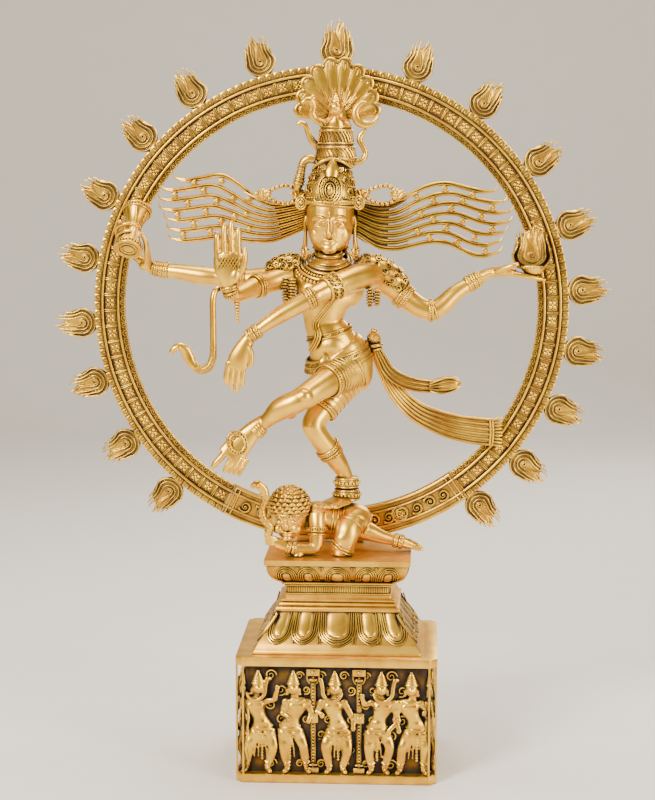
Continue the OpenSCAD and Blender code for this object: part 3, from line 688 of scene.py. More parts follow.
flame = cast("flame", flame_shapes((7.8, 12.2, 16.6), (46.5, 43.5, 38.0)), 0.5, 1, 0.5, 0.36)
print("one flame:", len(flame.data.polygons), "faces", [round(v / MM, 1) for v in flame.dimensions])
FLAME_ROOT = 37.2
LEFT_FLAMES = (16, 33, 48, 64, 79, 94, 108, 124, 139)
RIGHT_FLAMES = (20, 37, 55, 71, 86, 100, 114, 129, 143)


def place_flame(name, replaces, angle, mirror, size=1.0):
    place = ring_place(90 - angle, FLAME_ROOT, 0, 1, 0, mirror)
    copy = placed_copy(name, flame, place @ Matrix.Diagonal((size, size, 1, 1)))
    if mirror:
        copy.data.flip_normals()
    adopt(copy, CARVED, angle=60, replaces=(replaces,))


for i, angle in enumerate(LEFT_FLAMES):
    place_flame(f"flame_casting_left_{i + 1}", f"flame_left_{i + 1}", -angle, True)
for i, angle in enumerate(RIGHT_FLAMES):
    place_flame(f"flame_casting_right_{i + 1}", f"flame_right_{i + 1}", angle, False)
place_flame("flame_casting_top", "top_flame", 1.5, False, 1.1)
bpy.data.objects.remove(flame)

# %% [markdown]
# The lotus pedestal. Its courses are drawn as one profile, heights above the box against half widths: a
# bell, three rounded fillets, a reeded neck, two fillets and a cove. The profile is carried round a
# rectangle whose depth is 40 mm less than its width, with small rounded corners.

# %% Lotus pedestal: courses
PLAN_LESS = 20.0
NECK_HALF = 58.2
REED_PITCH = 2.05
LOTUS_Z = box_high.z / MM


def fillet(low, high, inner, outer, steps=5):
    return [((low + high) / 2 - (high - low) / 2 * math.cos(math.pi * k / steps),
             inner + (outer - inner) * math.sin(math.pi * k / steps) ** 0.6) for k in range(steps + 1)]


bell = [tuple(r) for r in curve_through([[0, 95.5], [3, 95.2], [6.5, 93], [13, 89.3], [19, 85], [25, 80.5],
                                         [31, 75.7], [37.5, 71.3], [43.5, 67.8]], 3)]
cove = [tuple(r) for r in curve_through([[78, 61.2], [80, 64.0], [83.2, 73], [88, 77], [94, 79.5],
                                         [100, 80.3]], 4)]
profile = ([(0, 93.0), (0.1, 95.2)] + bell[1:] + fillet(43.8, 49.4, 68.2, 71.4)
           + fillet(50.0, 53.6, 65.2, 67.6) + fillet(54.2, 58.0, 62.5, 65.6) + [(58.4, 61.0), (61.6, 60.6)]
           + fillet(61.8, 63.6, 59.4, 60.6, 3) + [(63.8, NECK_HALF), (71.4, NECK_HALF)]
           + fillet(71.6, 73.4, 59.4, 61.2, 3) + fillet(73.8, 77.6, 60.8, 64.8) + cove)


def half_at(h):
    for (h0, w0), (h1, w1) in zip(profile, profile[1:]):
        if h0 <= h <= h1:
            return w0 + (w1 - w0) * (h - h0) / max(1e-6, h1 - h0)
    return profile[-1][1]


def corner_loop(w, d, z, r=1.6):
    loop = []
    for sx, sy, start in ((1, 1, 0), (-1, 1, 90), (-1, -1, 180), (1, -1, 270)):
        for k in range(4):
            a = math.radians(start + 30 * k)
            loop.append((sx * (w - r) + r * math.cos(a), sy * (d - r) + r * math.sin(a), z))
    return loop


points, faces = [], []
for h, w in profile:
    points += [Vector(p) * MM for p in corner_loop(w, w - PLAN_LESS, LOTUS_Z + h)]
for i in range(len(profile) - 1):
    for k in range(16):
        a, b = i * 16 + k, i * 16 + (k + 1) % 16
        faces.append((a, b, b + 16, a + 16))
faces += [tuple(range(15, -1, -1)), tuple(range(len(points) - 16, len(points)))]
courses = adopt(new_mesh("lotus_courses", points, faces), PLAIN, angle=35, replaces=("lotus_pedestal",))
courses.data.materials.append(AGED)
for side in courses.data.polygons:
    height = side.center.z / MM - LOTUS_Z
    if 11 < height < 43.6 or 63 < height < 72 or 79 < height < 99.5:
        side.material_index = 1

# %% [markdown]
# The petals are chased into the bell and the cove. A texture would look flat at this size, so every
# petal is a domed plain tongue with four or five ribs nested round it, laid on the slope of the course
# itself: on_face() turns a place across a face and a height into a place on the metal.

# %% Lotus pedestal: petals
FACES = {"front": (1, 0, 0, -1), "back": (-1, 0, 0, 1), "right": (0, 1, 1, 0), "left": (0, -1, -1, 0)}


def on_face(face, u, h, lift=0.0):
    ax, ay, nx, ny = FACES[face]
    slope = (half_at(h + 0.6) - half_at(h - 0.6)) / 1.2
    n = 1 / math.hypot(1, slope)
    out = (half_at(h) if nx else half_at(h) - PLAN_LESS) + lift * n
    return (ax * u + nx * out, ay * u + ny * out, LOTUS_Z + h - lift * slope * n)


def u_path(w, straight, turn, tip, up, count=9, point=0.0):
    """A U with its ends at 'straight' and its turn reaching 'tip'; up is +1 for an arch, -1 for a U."""
    path = [(-w, straight), (-w, (straight + turn) / 2)]
    for k in range(count + 1):
        a = math.pi * k / count
        nose = point * max(0, 1 - abs(a - math.pi / 2) / 0.45)
        path.append((-w * math.cos(a), turn + (tip - turn) * math.sin(a) + up * nose))
    return path + [(w, (straight + turn) / 2), (w, straight)]


def rib(face, centre, path, wide, lean=0.0):
    rows = []
    for u, h in path:
        x, y, z = on_face(face, centre + u + lean * (h - path[0][1]), h, 0.3)
        rows.append([x, y, z, wide, 1.2])
    ax, ay, nx, ny = FACES[face]
    return loft(rows, 6, 2, (nx, ny, 0.3), (0, 0, 0))


def tongue(face, centre, w, straight, turn, tip, swell, lean=0.0):
    rows, cols = 12, 8
    points, faces = [], []
    for layer in (0, 1):
        for i in range(rows + 1):
            h = straight + (tip - straight) * i / rows
            past = (h - turn) / (tip - turn)
            half = w * (math.sqrt(max(0.0, 1 - past * past)) if past > 0 else 1)
            for j in range(cols + 1):
                s = -1 + 2 * j / cols
                dome = swell * math.sqrt(max(0.0, 1 - s * s)) * min(1, 0.25 + (1 - past) * 1.6
                                                                    if past > 0 else 1)
                points.append(Vector(on_face(face, centre + s * half + lean * (h - straight), h,
                                             -1.2 if layer else dome - 0.1)) * MM)
    n = (rows + 1) * (cols + 1)
    for i in range(rows):
        for j in range(cols):
            a = i * (cols + 1) + j
            faces.append((a, a + 1, a + cols + 2, a + cols + 1))
            faces.append((n + a + cols + 1, n + a + cols + 2, n + a + 1, n + a))
    edge = ([j for j in range(cols + 1)] + [(i + 1) * (cols + 1) - 1 for i in range(1, rows + 1)]
            + [rows * (cols + 1) + j for j in range(cols - 1, -1, -1)]
            + [i * (cols + 1) for i in range(rows - 1, 0, -1)])
    for a, b in zip(edge, edge[1:] + edge[:1]):
        faces.append((b, a, a + n, b + n))
    made = new_mesh("tongue", points, faces)
    outward(made)
    return made


petal_parts = []
for face in FACES:
    wide = face in ("front", "back")
    scale = 1.0 if wide else 0.76
    for centre, w in ((0, 11.5), (-34.5, 7.2), (34.5, 7.2), (-60.5, 6.6), (60.5, 6.6)):
        u, w, lean = centre * scale, w * (1 if wide else 0.8), -0.00045 * centre * 10
        petal_parts.append(tongue(face, u, w, 42.6, 26, 17.5 if centre == 0 else 18.5, 1.3, lean))
        for j in range(3 if centre else 4):
            grow = 2.5 * (j + 0.72) * (1 if wide else 0.8)
            path = u_path(w + grow, 42.8, 25, 17.6 - 2.1 * (j + 0.72), -1, 9, 1.6 if j > 1 else 0)
            petal_parts.append(rib(face, u, path, 0.95, lean))
        w2 = (7.0 if centre == 0 else 4.9) * (1 if wide else 0.8)
        petal_parts.append(tongue(face, u * 0.93, w2, 79.0, 87.2, 91.2, 1.6, 0.006 * centre * 0.5))
        for j in range(3):
            grow = 2.3 * (j + 0.72) * (1 if wide else 0.8)
            path = u_path(w2 + grow, 79.0, 87, 91.6 + 2.0 * (j + 0.6), 1, 9, 0.8 if j > 1 else 0)
            petal_parts.append(rib(face, u * 0.93, path, 0.85, 0.006 * centre * 0.5))
    for centre in (-48, -19.5, 19.5, 48):
        for k in (-1, 0, 1):
            u = centre * scale + 1.7 * k
            petal_parts.append(rib(face, u, [(0, 12.8 - abs(k)), (0.3 * k, 17 - abs(k)),
                                             (0.5 * k, 21 - 2 * abs(k))], 0.7))
            petal_parts.append(rib(face, u * 0.93, [(0, 98.4), (0, 96), (0, 93.4 + abs(k))], 0.6))
petals = join("lotus_petals", petal_parts)
adopt(petals, CARVED, angle=60)

# %% [markdown]
# The neck is reeded: fine upright rods side by side, one modelled and set round all four faces.

# %% Lotus pedestal: reeds
reed_places = []
for face in FACES:
    ax, ay, nx, ny = FACES[face]
    half = NECK_HALF - (0 if ax else PLAN_LESS)
    out = NECK_HALF - (0 if nx else PLAN_LESS)
    count = int(2 * (half - 1.5) / REED_PITCH)
    for k in range(count + 1):
        u = (k - count / 2) * REED_PITCH
        place = Matrix(((ax, nx, 0), (ay, ny, 0), (0, 0, 1))).to_4x4()
        place.translation = Vector((ax * u + nx * out, ay * u + ny * out, LOTUS_Z + 67.6)) * MM
        reed_places.append(place)
reed = box_unit(1.45, 2.2, -3.7, 3.7, 0.45)
adopt(repeat("neck_reeds", reed, reed_places), CARVED)

# %% [markdown]
# The seat plate gets a softened edge, because a cast plate never has a knife edge. The box is a hollow
# core between two plain rims, with a thin lip down each side of its cut corners: hollow frames stacked
# on each other, as sheet and bar would be brazed. The relief then runs almost the full width.

# %% Seat plate and box body
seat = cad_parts["seat_plate"]
only(seat)
bevel = seat.modifiers.new("soft_edge", "BEVEL")
bevel.width, bevel.segments, bevel.limit_method = 0.9 * MM, 2, "ANGLE"
BOX_W, BOX_D = (box_high.x - box_low.x) / 2 / MM, (box_high.y - box_low.y) / 2 / MM


def cut_corners(w, d, cut, z):
    return [Vector((sx * (w - cx), sy * (d - cy), z)) * MM
            for sx, sy, pair in ((1, 1, ((0, cut), (cut, 0))), (-1, 1, ((cut, 0), (0, cut))),
                                 (-1, -1, ((0, cut), (cut, 0))), (1, -1, ((cut, 0), (0, cut))))
            for cx, cy in pair]


def hollow_frame(low, high, w, d, cut, inner_w, inner_d, edge=0.0):
    points = (cut_corners(w, d, cut, low) + cut_corners(w, d, cut, high)
              + cut_corners(inner_w, inner_d, 3, low) + cut_corners(inner_w, inner_d, 3, high))
    faces = []
    for k in range(8):
        n = (k + 1) % 8
        faces += [(k, n, n + 8, k + 8), (k + 24, n + 24, n + 16, k + 16), (k + 8, n + 8, n + 24, k + 24),
                  (k + 16, n + 16, n, k)]
    made = new_mesh("frame", points, faces)
    outward(made)
    if edge:
        apply(made, "BEVEL", width=edge * MM, segments=2, limit_method="ANGLE")
    return made


BOX_TOP = LOTUS_Z
HOLLOW = 15
body = [hollow_frame(0, 10, BOX_W, BOX_D, 8, BOX_W - HOLLOW, BOX_D - HOLLOW, 0.9),
        hollow_frame(BOX_TOP - 10, BOX_TOP, BOX_W, BOX_D, 8, BOX_W - HOLLOW, BOX_D - HOLLOW, 0.9),
        hollow_frame(BOX_TOP - 4, BOX_TOP - 0.2, BOX_W - 10, BOX_D - 10, 8, 57.5, 37.5),
        hollow_frame(9.5, BOX_TOP - 9.5, BOX_W - 11, BOX_D - 11, 5, BOX_W - HOLLOW, BOX_D - HOLLOW)]
for sx in (-1, 1):
    for sy in (-1, 1):
        for x, y in ((BOX_W - 1.2, BOX_D - 9), (BOX_W - 9, BOX_D - 1.2)):
            lip = box_unit(2.2, 2.2, 9.5, BOX_TOP - 9.5, 0.5)
            lip.location = (sx * x * MM, sy * y * MM, lip.location.z)
            only(lip)
            bpy.ops.object.transform_apply(location=True, rotation=True, scale=True)
            body.append(lip)
box_body = join("box_body", body)
adopt(box_body, PLAIN, angle=35, replaces=("lower_box",))

# %% [markdown]
# The relief on the box. Each dancer stands almost free of its panel. Little figures are best modelled as
# wax is: rolls and balls of it pressed together, so each dancer is a list of rolls (torso, limbs, skirt
# folds, scarf, crown) that are melted into one skin. Five poses serve all the panels.

# %% Relief: one dancer
def roll(rows, sides=10):
    return loft([[x, y, z, r, *(rest or [r * 0.85])] for x, y, z, r, *rest in rows], sides, 3, at=ORIGIN)


def relief_head(hx):
    parts = []
    parts.append(ball(hx, -9, 92.5, 5.3, 5.6, 6.6, 0, ORIGIN, 14, 10))
    parts.append(roll([[hx, -14.2, 94.5, 0.9], [hx, -15.3, 91.6, 1.3], [hx, -14.4, 90.6, 1.2]], 6))
    parts.append(roll([[hx - 1.6, -13.9, 88.6, 0.6], [hx, -14.4, 88.4, 0.9], [hx + 1.6, -13.9, 88.6, 0.6]],
                      6))
    for s in (-1, 1):
        parts.append(ball(hx + 2.1 * s, -13.4, 93.6, 1.3, 0.9, 0.7, 0, ORIGIN, 8, 6))
        parts.append(ball(hx + 5.4 * s, -8.5, 90.5, 1.4, 1.6, 3.0, 0, ORIGIN, 8, 6))
        parts.append(ball(hx + 5.8 * s, -8.5, 86.5, 1.6, 1.6, 1.6, 0, ORIGIN, 8, 6))
    for z, r in ((98.0, 6.4), (100.6, 5.4), (103.0, 4.6), (105.4, 3.8), (107.6, 2.9)):
        parts.append(ball(hx, -8, z, r, r * 0.9, 1.7, 0, ORIGIN, 14, 8))
    parts.append(roll([[hx, -8, 98, 4.6], [hx, -8, 108, 2.2], [hx, -8, 113, 0.9]], 8))
    return parts


def relief_arm(chest, side, hand):
    parts = []
    shoulder = (chest[0] + side * 9.6, -7, 78)
    mid = ((shoulder[0] + hand[0]) / 2 + side * hand[3], -9, (shoulder[2] + hand[2]) / 2 - 5)
    parts.append(ball(shoulder[0], -7, 78, 3.9, 3.6, 3.6, 0, ORIGIN, 10, 8))
    parts.append(roll([[*shoulder, 3.3], [(shoulder[0] + mid[0]) / 2, -8, (shoulder[2] + mid[2]) / 2, 3.0],
                       [*mid, 2.6], [(hand[0] + mid[0]) / 2, (hand[1] + mid[1]) / 2, (hand[2] + mid[2]) / 2,
                                     2.3], [hand[0], hand[1], hand[2], 1.9]], 10))
    parts.append(ball(hand[0], hand[1], hand[2] + (2 if hand[2] > 70 else -2), 2.4, 1.9, 3.2, 0, ORIGIN, 10,
                      6))
    for t in (0.42, 0.93):
        wx, wy, wz = [shoulder[i] + (mid[i] - shoulder[i]) * t for i in range(3)]
        parts.append(ball(wx, wy, wz, 3.7, 3.3, 1.0, 0, ORIGIN, 10, 6))
    return parts


def relief_leg(hip, side, kx, ky, kz, fx, robe):
    """From hip to toes, with the folds of the skirt across it; kx, ky, kz is the knee, fx the foot."""
    parts = []
    start = (hip[0] + side * 5, -6.5, 47)
    parts.append(roll([[*start, 6.2], [(start[0] + kx) / 2, -8, (47 + kz) / 2, 5.6], [kx, ky, kz, 4.2],
                       [(kx + fx) / 2, -7, kz * 0.55, 3.9], [fx, -6, 6, 2.7], [fx, -6.5, 3, 2.6]], 12))
    parts.append(roll([[fx, -5, 3.0, 2.6], [fx + side * 1.5, -10, 1.8, 2.8],
                       [fx + side * 2.6, -14, 1.4, 2.0]], 8))
    parts.append(ball(fx, -6, 7.5, 3.7, 3.7, 0.9, 0, ORIGIN, 10, 6))
    folds = 7 if robe else 5
    for k in range(folds):
        t = (k + 0.6) / folds
        cx, cz = start[0] + (kx - start[0]) * t, 47 + (kz - 47) * t
        r = 6.6 + (4.8 - 6.6) * t
        parts.append(roll([[cx - r * 0.9, -6, cz + 2.5, 0.6], [cx - r * 0.3, -8 - r * 0.75, cz - 0.8, 0.95],
                           [cx + r * 0.5, -8 - r * 0.7, cz - 1.2, 0.9], [cx + r * 0.95, -6, cz + 1.6, 0.6]],
                          6))
    if robe:
        for k in range(4):
            t = (k + 0.5) / 4
            cx, cz = kx + (fx - kx) * t, kz + (8 - kz) * t
            parts.append(roll([[cx - 4.4, -6, cz + 2, 0.6], [cx, -10.8, cz - 1, 0.9],
                               [cx + 4.4, -6, cz + 1.4, 0.6]], 6))
    return parts


def relief_dress(hip, chest, scarf_side):
    parts = []
    parts.append(roll([[hip[0] - 9.6, -6, 52, 1.0], [hip[0] - 4, -12.6, 49, 1.3],
                       [hip[0] + 4, -12.6, 49, 1.3], [hip[0] + 9.6, -6, 52, 1.0]], 8))
    parts.append(roll([[hip[0] - 9.6, -6, 47, 0.9], [hip[0] - 4, -13, 43.5, 1.2],
                       [hip[0] + 4, -13, 43.5, 1.2], [hip[0] + 9.6, -6, 47, 0.9]], 8))
    for k in range(9):
        parts.append(ball(hip[0], -14 + 0.3 * k, 42 - 3.3 * k, 1.5, 1.4, 1.4, 0, ORIGIN, 8, 6))
    for k in range(4):
        parts.append(roll([[hip[0] - 2.5 + k, -12.5, 44, 0.8], [hip[0] - 6 + 3 * k, -11.5, 30, 1.0],
                           [hip[0] - 7 + 3.6 * k, -9, 17, 0.9]], 6))
    if scarf_side:
        s = scarf_side
        parts.append(roll([[chest[0] + 13 * s, -6, 101, 2.6, 1.6], [chest[0] + 11 * s, -8, 103.5, 2.2],
                           [chest[0] + 9.0 * s, -10, 95, 1.9], [chest[0] + 8 * s, -12, 86, 1.9],
                           [chest[0] + 2 * s, -13, 80, 1.9], [chest[0] - 5 * s, -12, 82, 1.8],
                           [chest[0] - 8 * s, -8, 88, 1.6]], 8))
    else:
        for z, drop in ((81, 3), (79, 5)):
            parts.append(roll([[chest[0] - 6.5, -10, z, 0.8], [chest[0], -14, z - drop, 1.0],
                               [chest[0] + 6.5, -10, z, 0.8]], 6))
    for k in range(3):
        parts.append(roll([[chest[0] - 3 + 0.8 * k, -12.8, 78, 0.5], [0.5 + 0.8 * k, -12.2, 64, 0.5],
                           [hip[0] + 3 + 0.8 * k, -11.6, 52, 0.5]], 6))
    return parts


def relief_figure(name, sway, head_turn, left_hand, right_hand, step, robe, scarf_side):
    """A dancer 112 mm tall, its back on y = 0, looking to -Y. Hands and feet are given as places."""
    hip, chest, neck = (2.5 * sway, -6, 50), (-3.5 * sway, -7, 74), (-1.5 * sway, -7, 84)
    parts = [roll([[hip[0], -6, 46, 9.2, 6.5], [hip[0] * 0.9, -6.5, 52, 9.0, 6.8], [0, -6.5, 61, 6.2, 5.6],
                   [chest[0], -7, 71, 8.6, 6.6], [chest[0] * 0.9, -7, 78, 9.8, 6.0],
                   [neck[0], -7, 82.5, 4.0, 3.8], [neck[0], -7.5, 87, 3.2, 3.2]])]
    parts += [ball(chest[0] + s * 4.2, -11.5, 73.5, 3.4, 2.8, 3.4, 0, ORIGIN, 12, 8) for s in (-1, 1)]
    parts.append(ball(hip[0] * 0.8, -10.5, 55, 4.6, 3.4, 4.4, 0, ORIGIN, 12, 8))
    parts += relief_head(neck[0] + head_turn)
    parts += relief_arm(chest, -1, right_hand) + relief_arm(chest, 1, left_hand)
    for side, (kx, ky, kz, fx) in zip((-1, 1), step):
        parts += relief_leg(hip, side, kx, ky, kz, fx, robe)
    parts += relief_dress(hip, chest, scarf_side)
    return cast(name, parts, 0.85, 1, 0.4)


DANCERS = {"a": relief_figure("dancer_a", 1.0, 0.5, (16, -12, 92, 2), (-10, -13, 62, 3),
                              ((-9, -12, 30, -12), (12, -13, 28, 7)), 1, 1),
           "b": relief_figure("dancer_b", -1.0, -1.0, (14, -13, 60, 3), (-3, -14, 62, 4),
                              ((-8, -12, 28, -5), (9, -12, 30, 12)), 1, 0),
           "c": relief_figure("dancer_c", 0.8, 0.0, (15, -12, 52, 4), (-12, -13, 66, 4),
                              ((-9, -13, 30, -6), (10, -13, 27, 6)), 0, -1),
           "d": relief_figure("dancer_d", -0.8, 0.5, (8, -14, 48, 6), (-15, -12, 84, 2),
                              ((-9, -12, 28, -7), (9, -12, 30, 5)), 1, 1),
           "e": relief_figure("dancer_e", 1.0, -0.8, (9, -13, 70, 4), (-13, -12, 50, 3),
                              ((-10, -12, 28, -12), (10, -13, 30, 9)), 1, 0),}
for key, dancer in DANCERS.items():
    print("dancer", key, len(dancer.data.polygons), "faces")

# %% [markdown]
# The pillars between the dancers are strips of beads with a square block in the middle and a capital, on
# a rough dark ground. Everything is set on the panels of all four sides, with part figures and scrolls
# that wrap the corner posts.

# %% Relief: ground and pillars
def pillar_unit():
    parts = [box_unit(4.6, 2.6, 0, 116, 0.5)]
    for k in range(30):
        z = 6 + 3.6 * k
        if abs(z - 62) > 9:
            parts.append(ball(0, -2.0, z, 1.35, 1.3, 1.35, 0, ORIGIN, 8, 6))
    for z, w, h in ((62, 10, 11), (113, 13, 8), (104.5, 8, 3), (3, 11, 6), (9, 8, 2)):
        block = box_unit(w, 6, z - h / 2, z + h / 2, 0.8)
        block.location.y = -1.2 * MM
        parts.append(block)
    parts.append(ball(0, -4.4, 62, 2.4, 1.2, 2.4, 0, ORIGIN, 10, 8))
    parts.append(ball(0, -4.4, 113, 2.2, 1.2, 2.2, 0, ORIGIN, 10, 8))
    for s in (-1, 1):
        parts.append(roll([[3.2 * s, -1.0, 100, 0.8], [5.5 * s, -1.5, 104, 0.9], [6.0 * s, -1.5, 109, 0.9]],
                          6))
    return join("pillar", parts)


PANEL_LOW = 13.2
PANEL_SIZE, CORNER_SIZE, PILLAR_SIZE = [Matrix.Diagonal((*s, 1)) for s in (
    (1.30, 0.72, 1.06), (0.62, 0.62, 1.05), (1.15, 1, 1.04))]
panel_depth = {face: (BOX_D if face in ("front", "back") else BOX_W) - 11 for face in FACES}
SPOTS = {"front": [("a", -87), ("b", -49), ("c", 0), ("d", 49), ("e", 88)],
         "back": [("d", -87), ("b", -49), ("c", 0), ("a", 49), ("e", 88)],
         "right": [("c", -62), ("a", -20), ("d", 22), ("b", 63)],
         "left": [("a", -62), ("e", -20), ("c", 22), ("d", 63)]}
PILLARS = {"front": (-26, 26), "back": (-26, 26), "right": (-41, 42), "left": (-41, 42)}
CORNERS = {"front": (1, -1, "b"), "right": (1, 1, "c"), "back": (-1, 1, "e"), "left": (-1, -1, "c")}


def face_place(face, u, z, out):
    ax, ay, nx, ny = FACES[face]
    place = Matrix(((ax, -nx, 0), (ay, -ny, 0), (0, 0, 1))).to_4x4()
    place.translation = Vector((ax * u + nx * out, ay * u + ny * out, z)) * MM
    return place


pillar = pillar_unit()
for face in FACES:
    figures = []
    for key, u in SPOTS[face]:
        place = face_place(face, u, PANEL_LOW - 2, panel_depth[face] - 0.9)
        figures.append(placed_copy("figure", DANCERS[key], place @ PANEL_SIZE))
    sx, sy, key = CORNERS[face]
    n, along = Vector((sx, sy, 0)).normalized(), Vector((-sy, sx, 0)).normalized()
    place = Matrix((along, -n, Vector((0, 0, 1)))).transposed().to_4x4()
    place.translation = Vector((sx * (BOX_W - 12.6), sy * (BOX_D - 12.6), PANEL_LOW - 2)) * MM
    figures.append(placed_copy("figure", DANCERS[key], place @ CORNER_SIZE))
    adopt(join(f"relief_dancers_{face}", figures), CARVED, 80, replaces=(f"relief_{face}",))
    half = (BOX_W if face in ("front", "back") else BOX_D) - 11.5
    slab = box_unit(2 * half, 2, PANEL_LOW - 3.5, 136.2, 0.3)
    slab.location.y = 0.7 * MM
    only(slab)
    bpy.ops.object.transform_apply(location=True, rotation=True, scale=True)
    slab.data.transform(face_place(face, 0, 0, panel_depth[face] - 0.2))
    slab.name = f"relief_ground_{face}"
    outward(slab)
    adopt(slab, GROUND, 50)
    pillars = []
    for u in PILLARS[face]:
        place = face_place(face, u, PANEL_LOW - 2, panel_depth[face] + 3.2)
        pillars.append(placed_copy("pillar", pillar, place @ PILLAR_SIZE))
    spots = sorted([u for _, u in SPOTS[face]] + list(PILLARS[face]))
    for a, b in zip(spots, spots[1:]):
        gap = b - a
        for k in range(7):
            size = min(7.0, gap * 0.22)
            curl = loft(scroll_rows(1.5, size, 1.2, 1.15, start=k * 2.1, depth=2.2), 6, 1, UP, ORIGIN)
            lie = Matrix.Rotation(math.radians(90), 4, "X")
            u = (a + b) / 2 + (0.16 * gap if k % 2 else -0.16 * gap)
            curl.data.transform(face_place(face, u, PANEL_LOW + 8 + 17.2 * k, panel_depth[face] + 1.8) @ lie)
            pillars.append(curl)
    made = join(f"relief_pillars_{face}", pillars)
    outward(made)
    adopt(made, CARVED, 50)
bpy.data.objects.remove(pillar)
for dancer in DANCERS.values():
    bpy.data.objects.remove(dancer)

# %% [markdown]
# The dancer. Every limb is a list of stations, given where the shape changes: place, half width,
# half depth. Limb keeps the smooth rows, makes the skin, and can say where a bangle goes: hoop() lays a
# closed wire round it at a share of its length, and beads() sets pearls along a line that spaced() has
# cut into equal steps. The places are millimetres from the figure's own origin.

# %% Dancer: limbs, hoops and beads
class Limb:
    def __init__(self, rows, steps=6):
        self.rows = curve_through(rows, steps)

    def skin(self, sides=22):
        points, faces = sweep_data(self.rows, sides)
        return new_mesh("skin", [p * MM + np.array(FIGURE_AT) for p in points], faces)

    def around(self, t, grow, count=32, skew=0.0):
        i = t * (len(self.rows) - 1)
        k = min(int(i), len(self.rows) - 2)
        row = self.rows[k] + (self.rows[k + 1] - self.rows[k]) * (i - k)
        ahead = self.rows[min(k + 2, len(self.rows) - 1)][:3] - self.rows[max(k - 1, 0)][:3]
        ahead = ahead / np.linalg.norm(ahead)
        across = np.cross(ahead, (0, 1, 0))
        across = across / np.linalg.norm(across)
        rise = np.cross(across, ahead)
        out = []
        for a in angles(count):
            out.append(row[:3] + (row[3] + grow) * math.cos(a) * across + (row[4] + grow) * math.sin(a) * rise
                       + ahead * skew * math.cos(a))
        return out


def loop_tube(line, r):
    line = [np.array(p, float)[:3] for p in line]
    middle = sum(line) / len(line)
    points, faces, n, sides = [], [], len(line), 7
    for i, p in enumerate(line):
        t = line[(i + 1) % n] - line[i - 1]
        t = t / np.linalg.norm(t)
        out = p - middle
        out = out - t * out.dot(t)
        out = out / (np.linalg.norm(out) or 1)
        b = np.cross(t, out)
        for a in angles(sides):
            points.append((p + r * (math.cos(a) * out + math.sin(a) * b)) * MM + np.array(FIGURE_AT))
    for i in range(n):
        for k in range(sides):
            a, c = i * sides + k, i * sides + (k + 1) % sides
            d = ((i + 1) % n) * sides
            faces.append((a, c, d + (k + 1) % sides, d + k))
    return new_mesh("loop", points, faces)


def wire(line, r, sides, steps):
    return loft([[*p[:3], r, r] for p in line], sides, steps)


def beads(line, r):
    unit = ball(0, 0, 0, r, r, r, 0, ORIGIN, 10, 7)
    return repeat("beads", unit, [Matrix.Translation(FIGURE_AT + Vector(p[:3]) * MM) for p in line])


def spaced(line, gap):
    """Points at equal distances along a closed line."""
    line = [np.array(p, float)[:3] for p in line]
    line = line + [line[0]]
    out, carry = [], 0.0
    for a, b in zip(line, line[1:]):
        length = np.linalg.norm(b - a)
        while carry < length:
            out.append(a + (b - a) * carry / length)
            carry += gap
        carry -= length
    return out


def ellipse(at, rx, ry, slope=0.0, drop=0.0, count=48):
    return [(at[0] + rx * math.cos(a), at[1] + ry * math.sin(a), at[2] + slope * math.cos(a) + drop
             * math.sin(a)) for a in angles(count)]


def hoop(limb, t, grow, tube, skew=0.0):
    return loop_tube(limb.around(t, grow, 32, skew), tube)


def bangle(limb, t, grow, tube, pearl):
    """A plain wire with a row of pearls on it, 3.4 mm apart."""
    pearls = spaced(limb.around(t, grow + tube * 0.5, 40), 3.4)
    return [hoop(limb, t, grow, tube), beads(pearls, pearl)]


def spiral_on(x, y, z, size, turns, thick, start, hand):
    rows = []
    for k in range(19):
        t = k / 18
        a = start + hand * 2 * math.pi * turns * t
        r = size * (1 - 0.82 * t)
        rows.append([x + r * math.cos(a), y, z + r * math.sin(a), thick, thick])
    return loft(rows, 6, 1)


def scroll_at(limb, t, degrees, size, thick, turns, hand):
    """A spiral struck on a limb, facing straight out of it; -90 degrees is the front."""
    ring = limb.around(t, 0.3, 72)
    spot = ring[int(round(degrees / 5)) % 72]
    out = Vector(spot - sum(ring) / 72).normalized()
    ahead = Vector(limb.around(min(1, t + 0.03), 0, 4)[0] - limb.around(max(0, t - 0.03), 0, 4)[0])
    ahead = (ahead - out * ahead.dot(out)).normalized()
    side = ahead.cross(out) * hand
    place = Matrix((side, ahead, out)).transposed().to_4x4()
    place.translation = FIGURE_AT + Vector(spot) * MM
    curl = loft(scroll_rows(turns, size, size * 0.22, thick, start=degrees * 0.7 + 9 * t, depth=1.2), 6, 1,
                UP, ORIGIN)
    curl.data.transform(place)
    return curl


def brazed(name, parts, material=BRASS, replaces=()):
    adopt(join(name, parts), material, angle=60, replaces=replaces)


def flesh(name, parts, voxel, smooth=4):
    """Melts the parts of a body into one smooth skin that takes the place of the plain solid."""
    adopt(cast(f"{name}_skin", parts, voxel, smooth), SKIN, angle=180, replaces=(name,))

# %% [markdown]
# Torso: a slim waist that swings to the statue's left, broad square shoulders, a soft belly and a smooth
# chest, the ideal body of these bronzes. Rolls and balls are melted at 1 mm and smoothed.

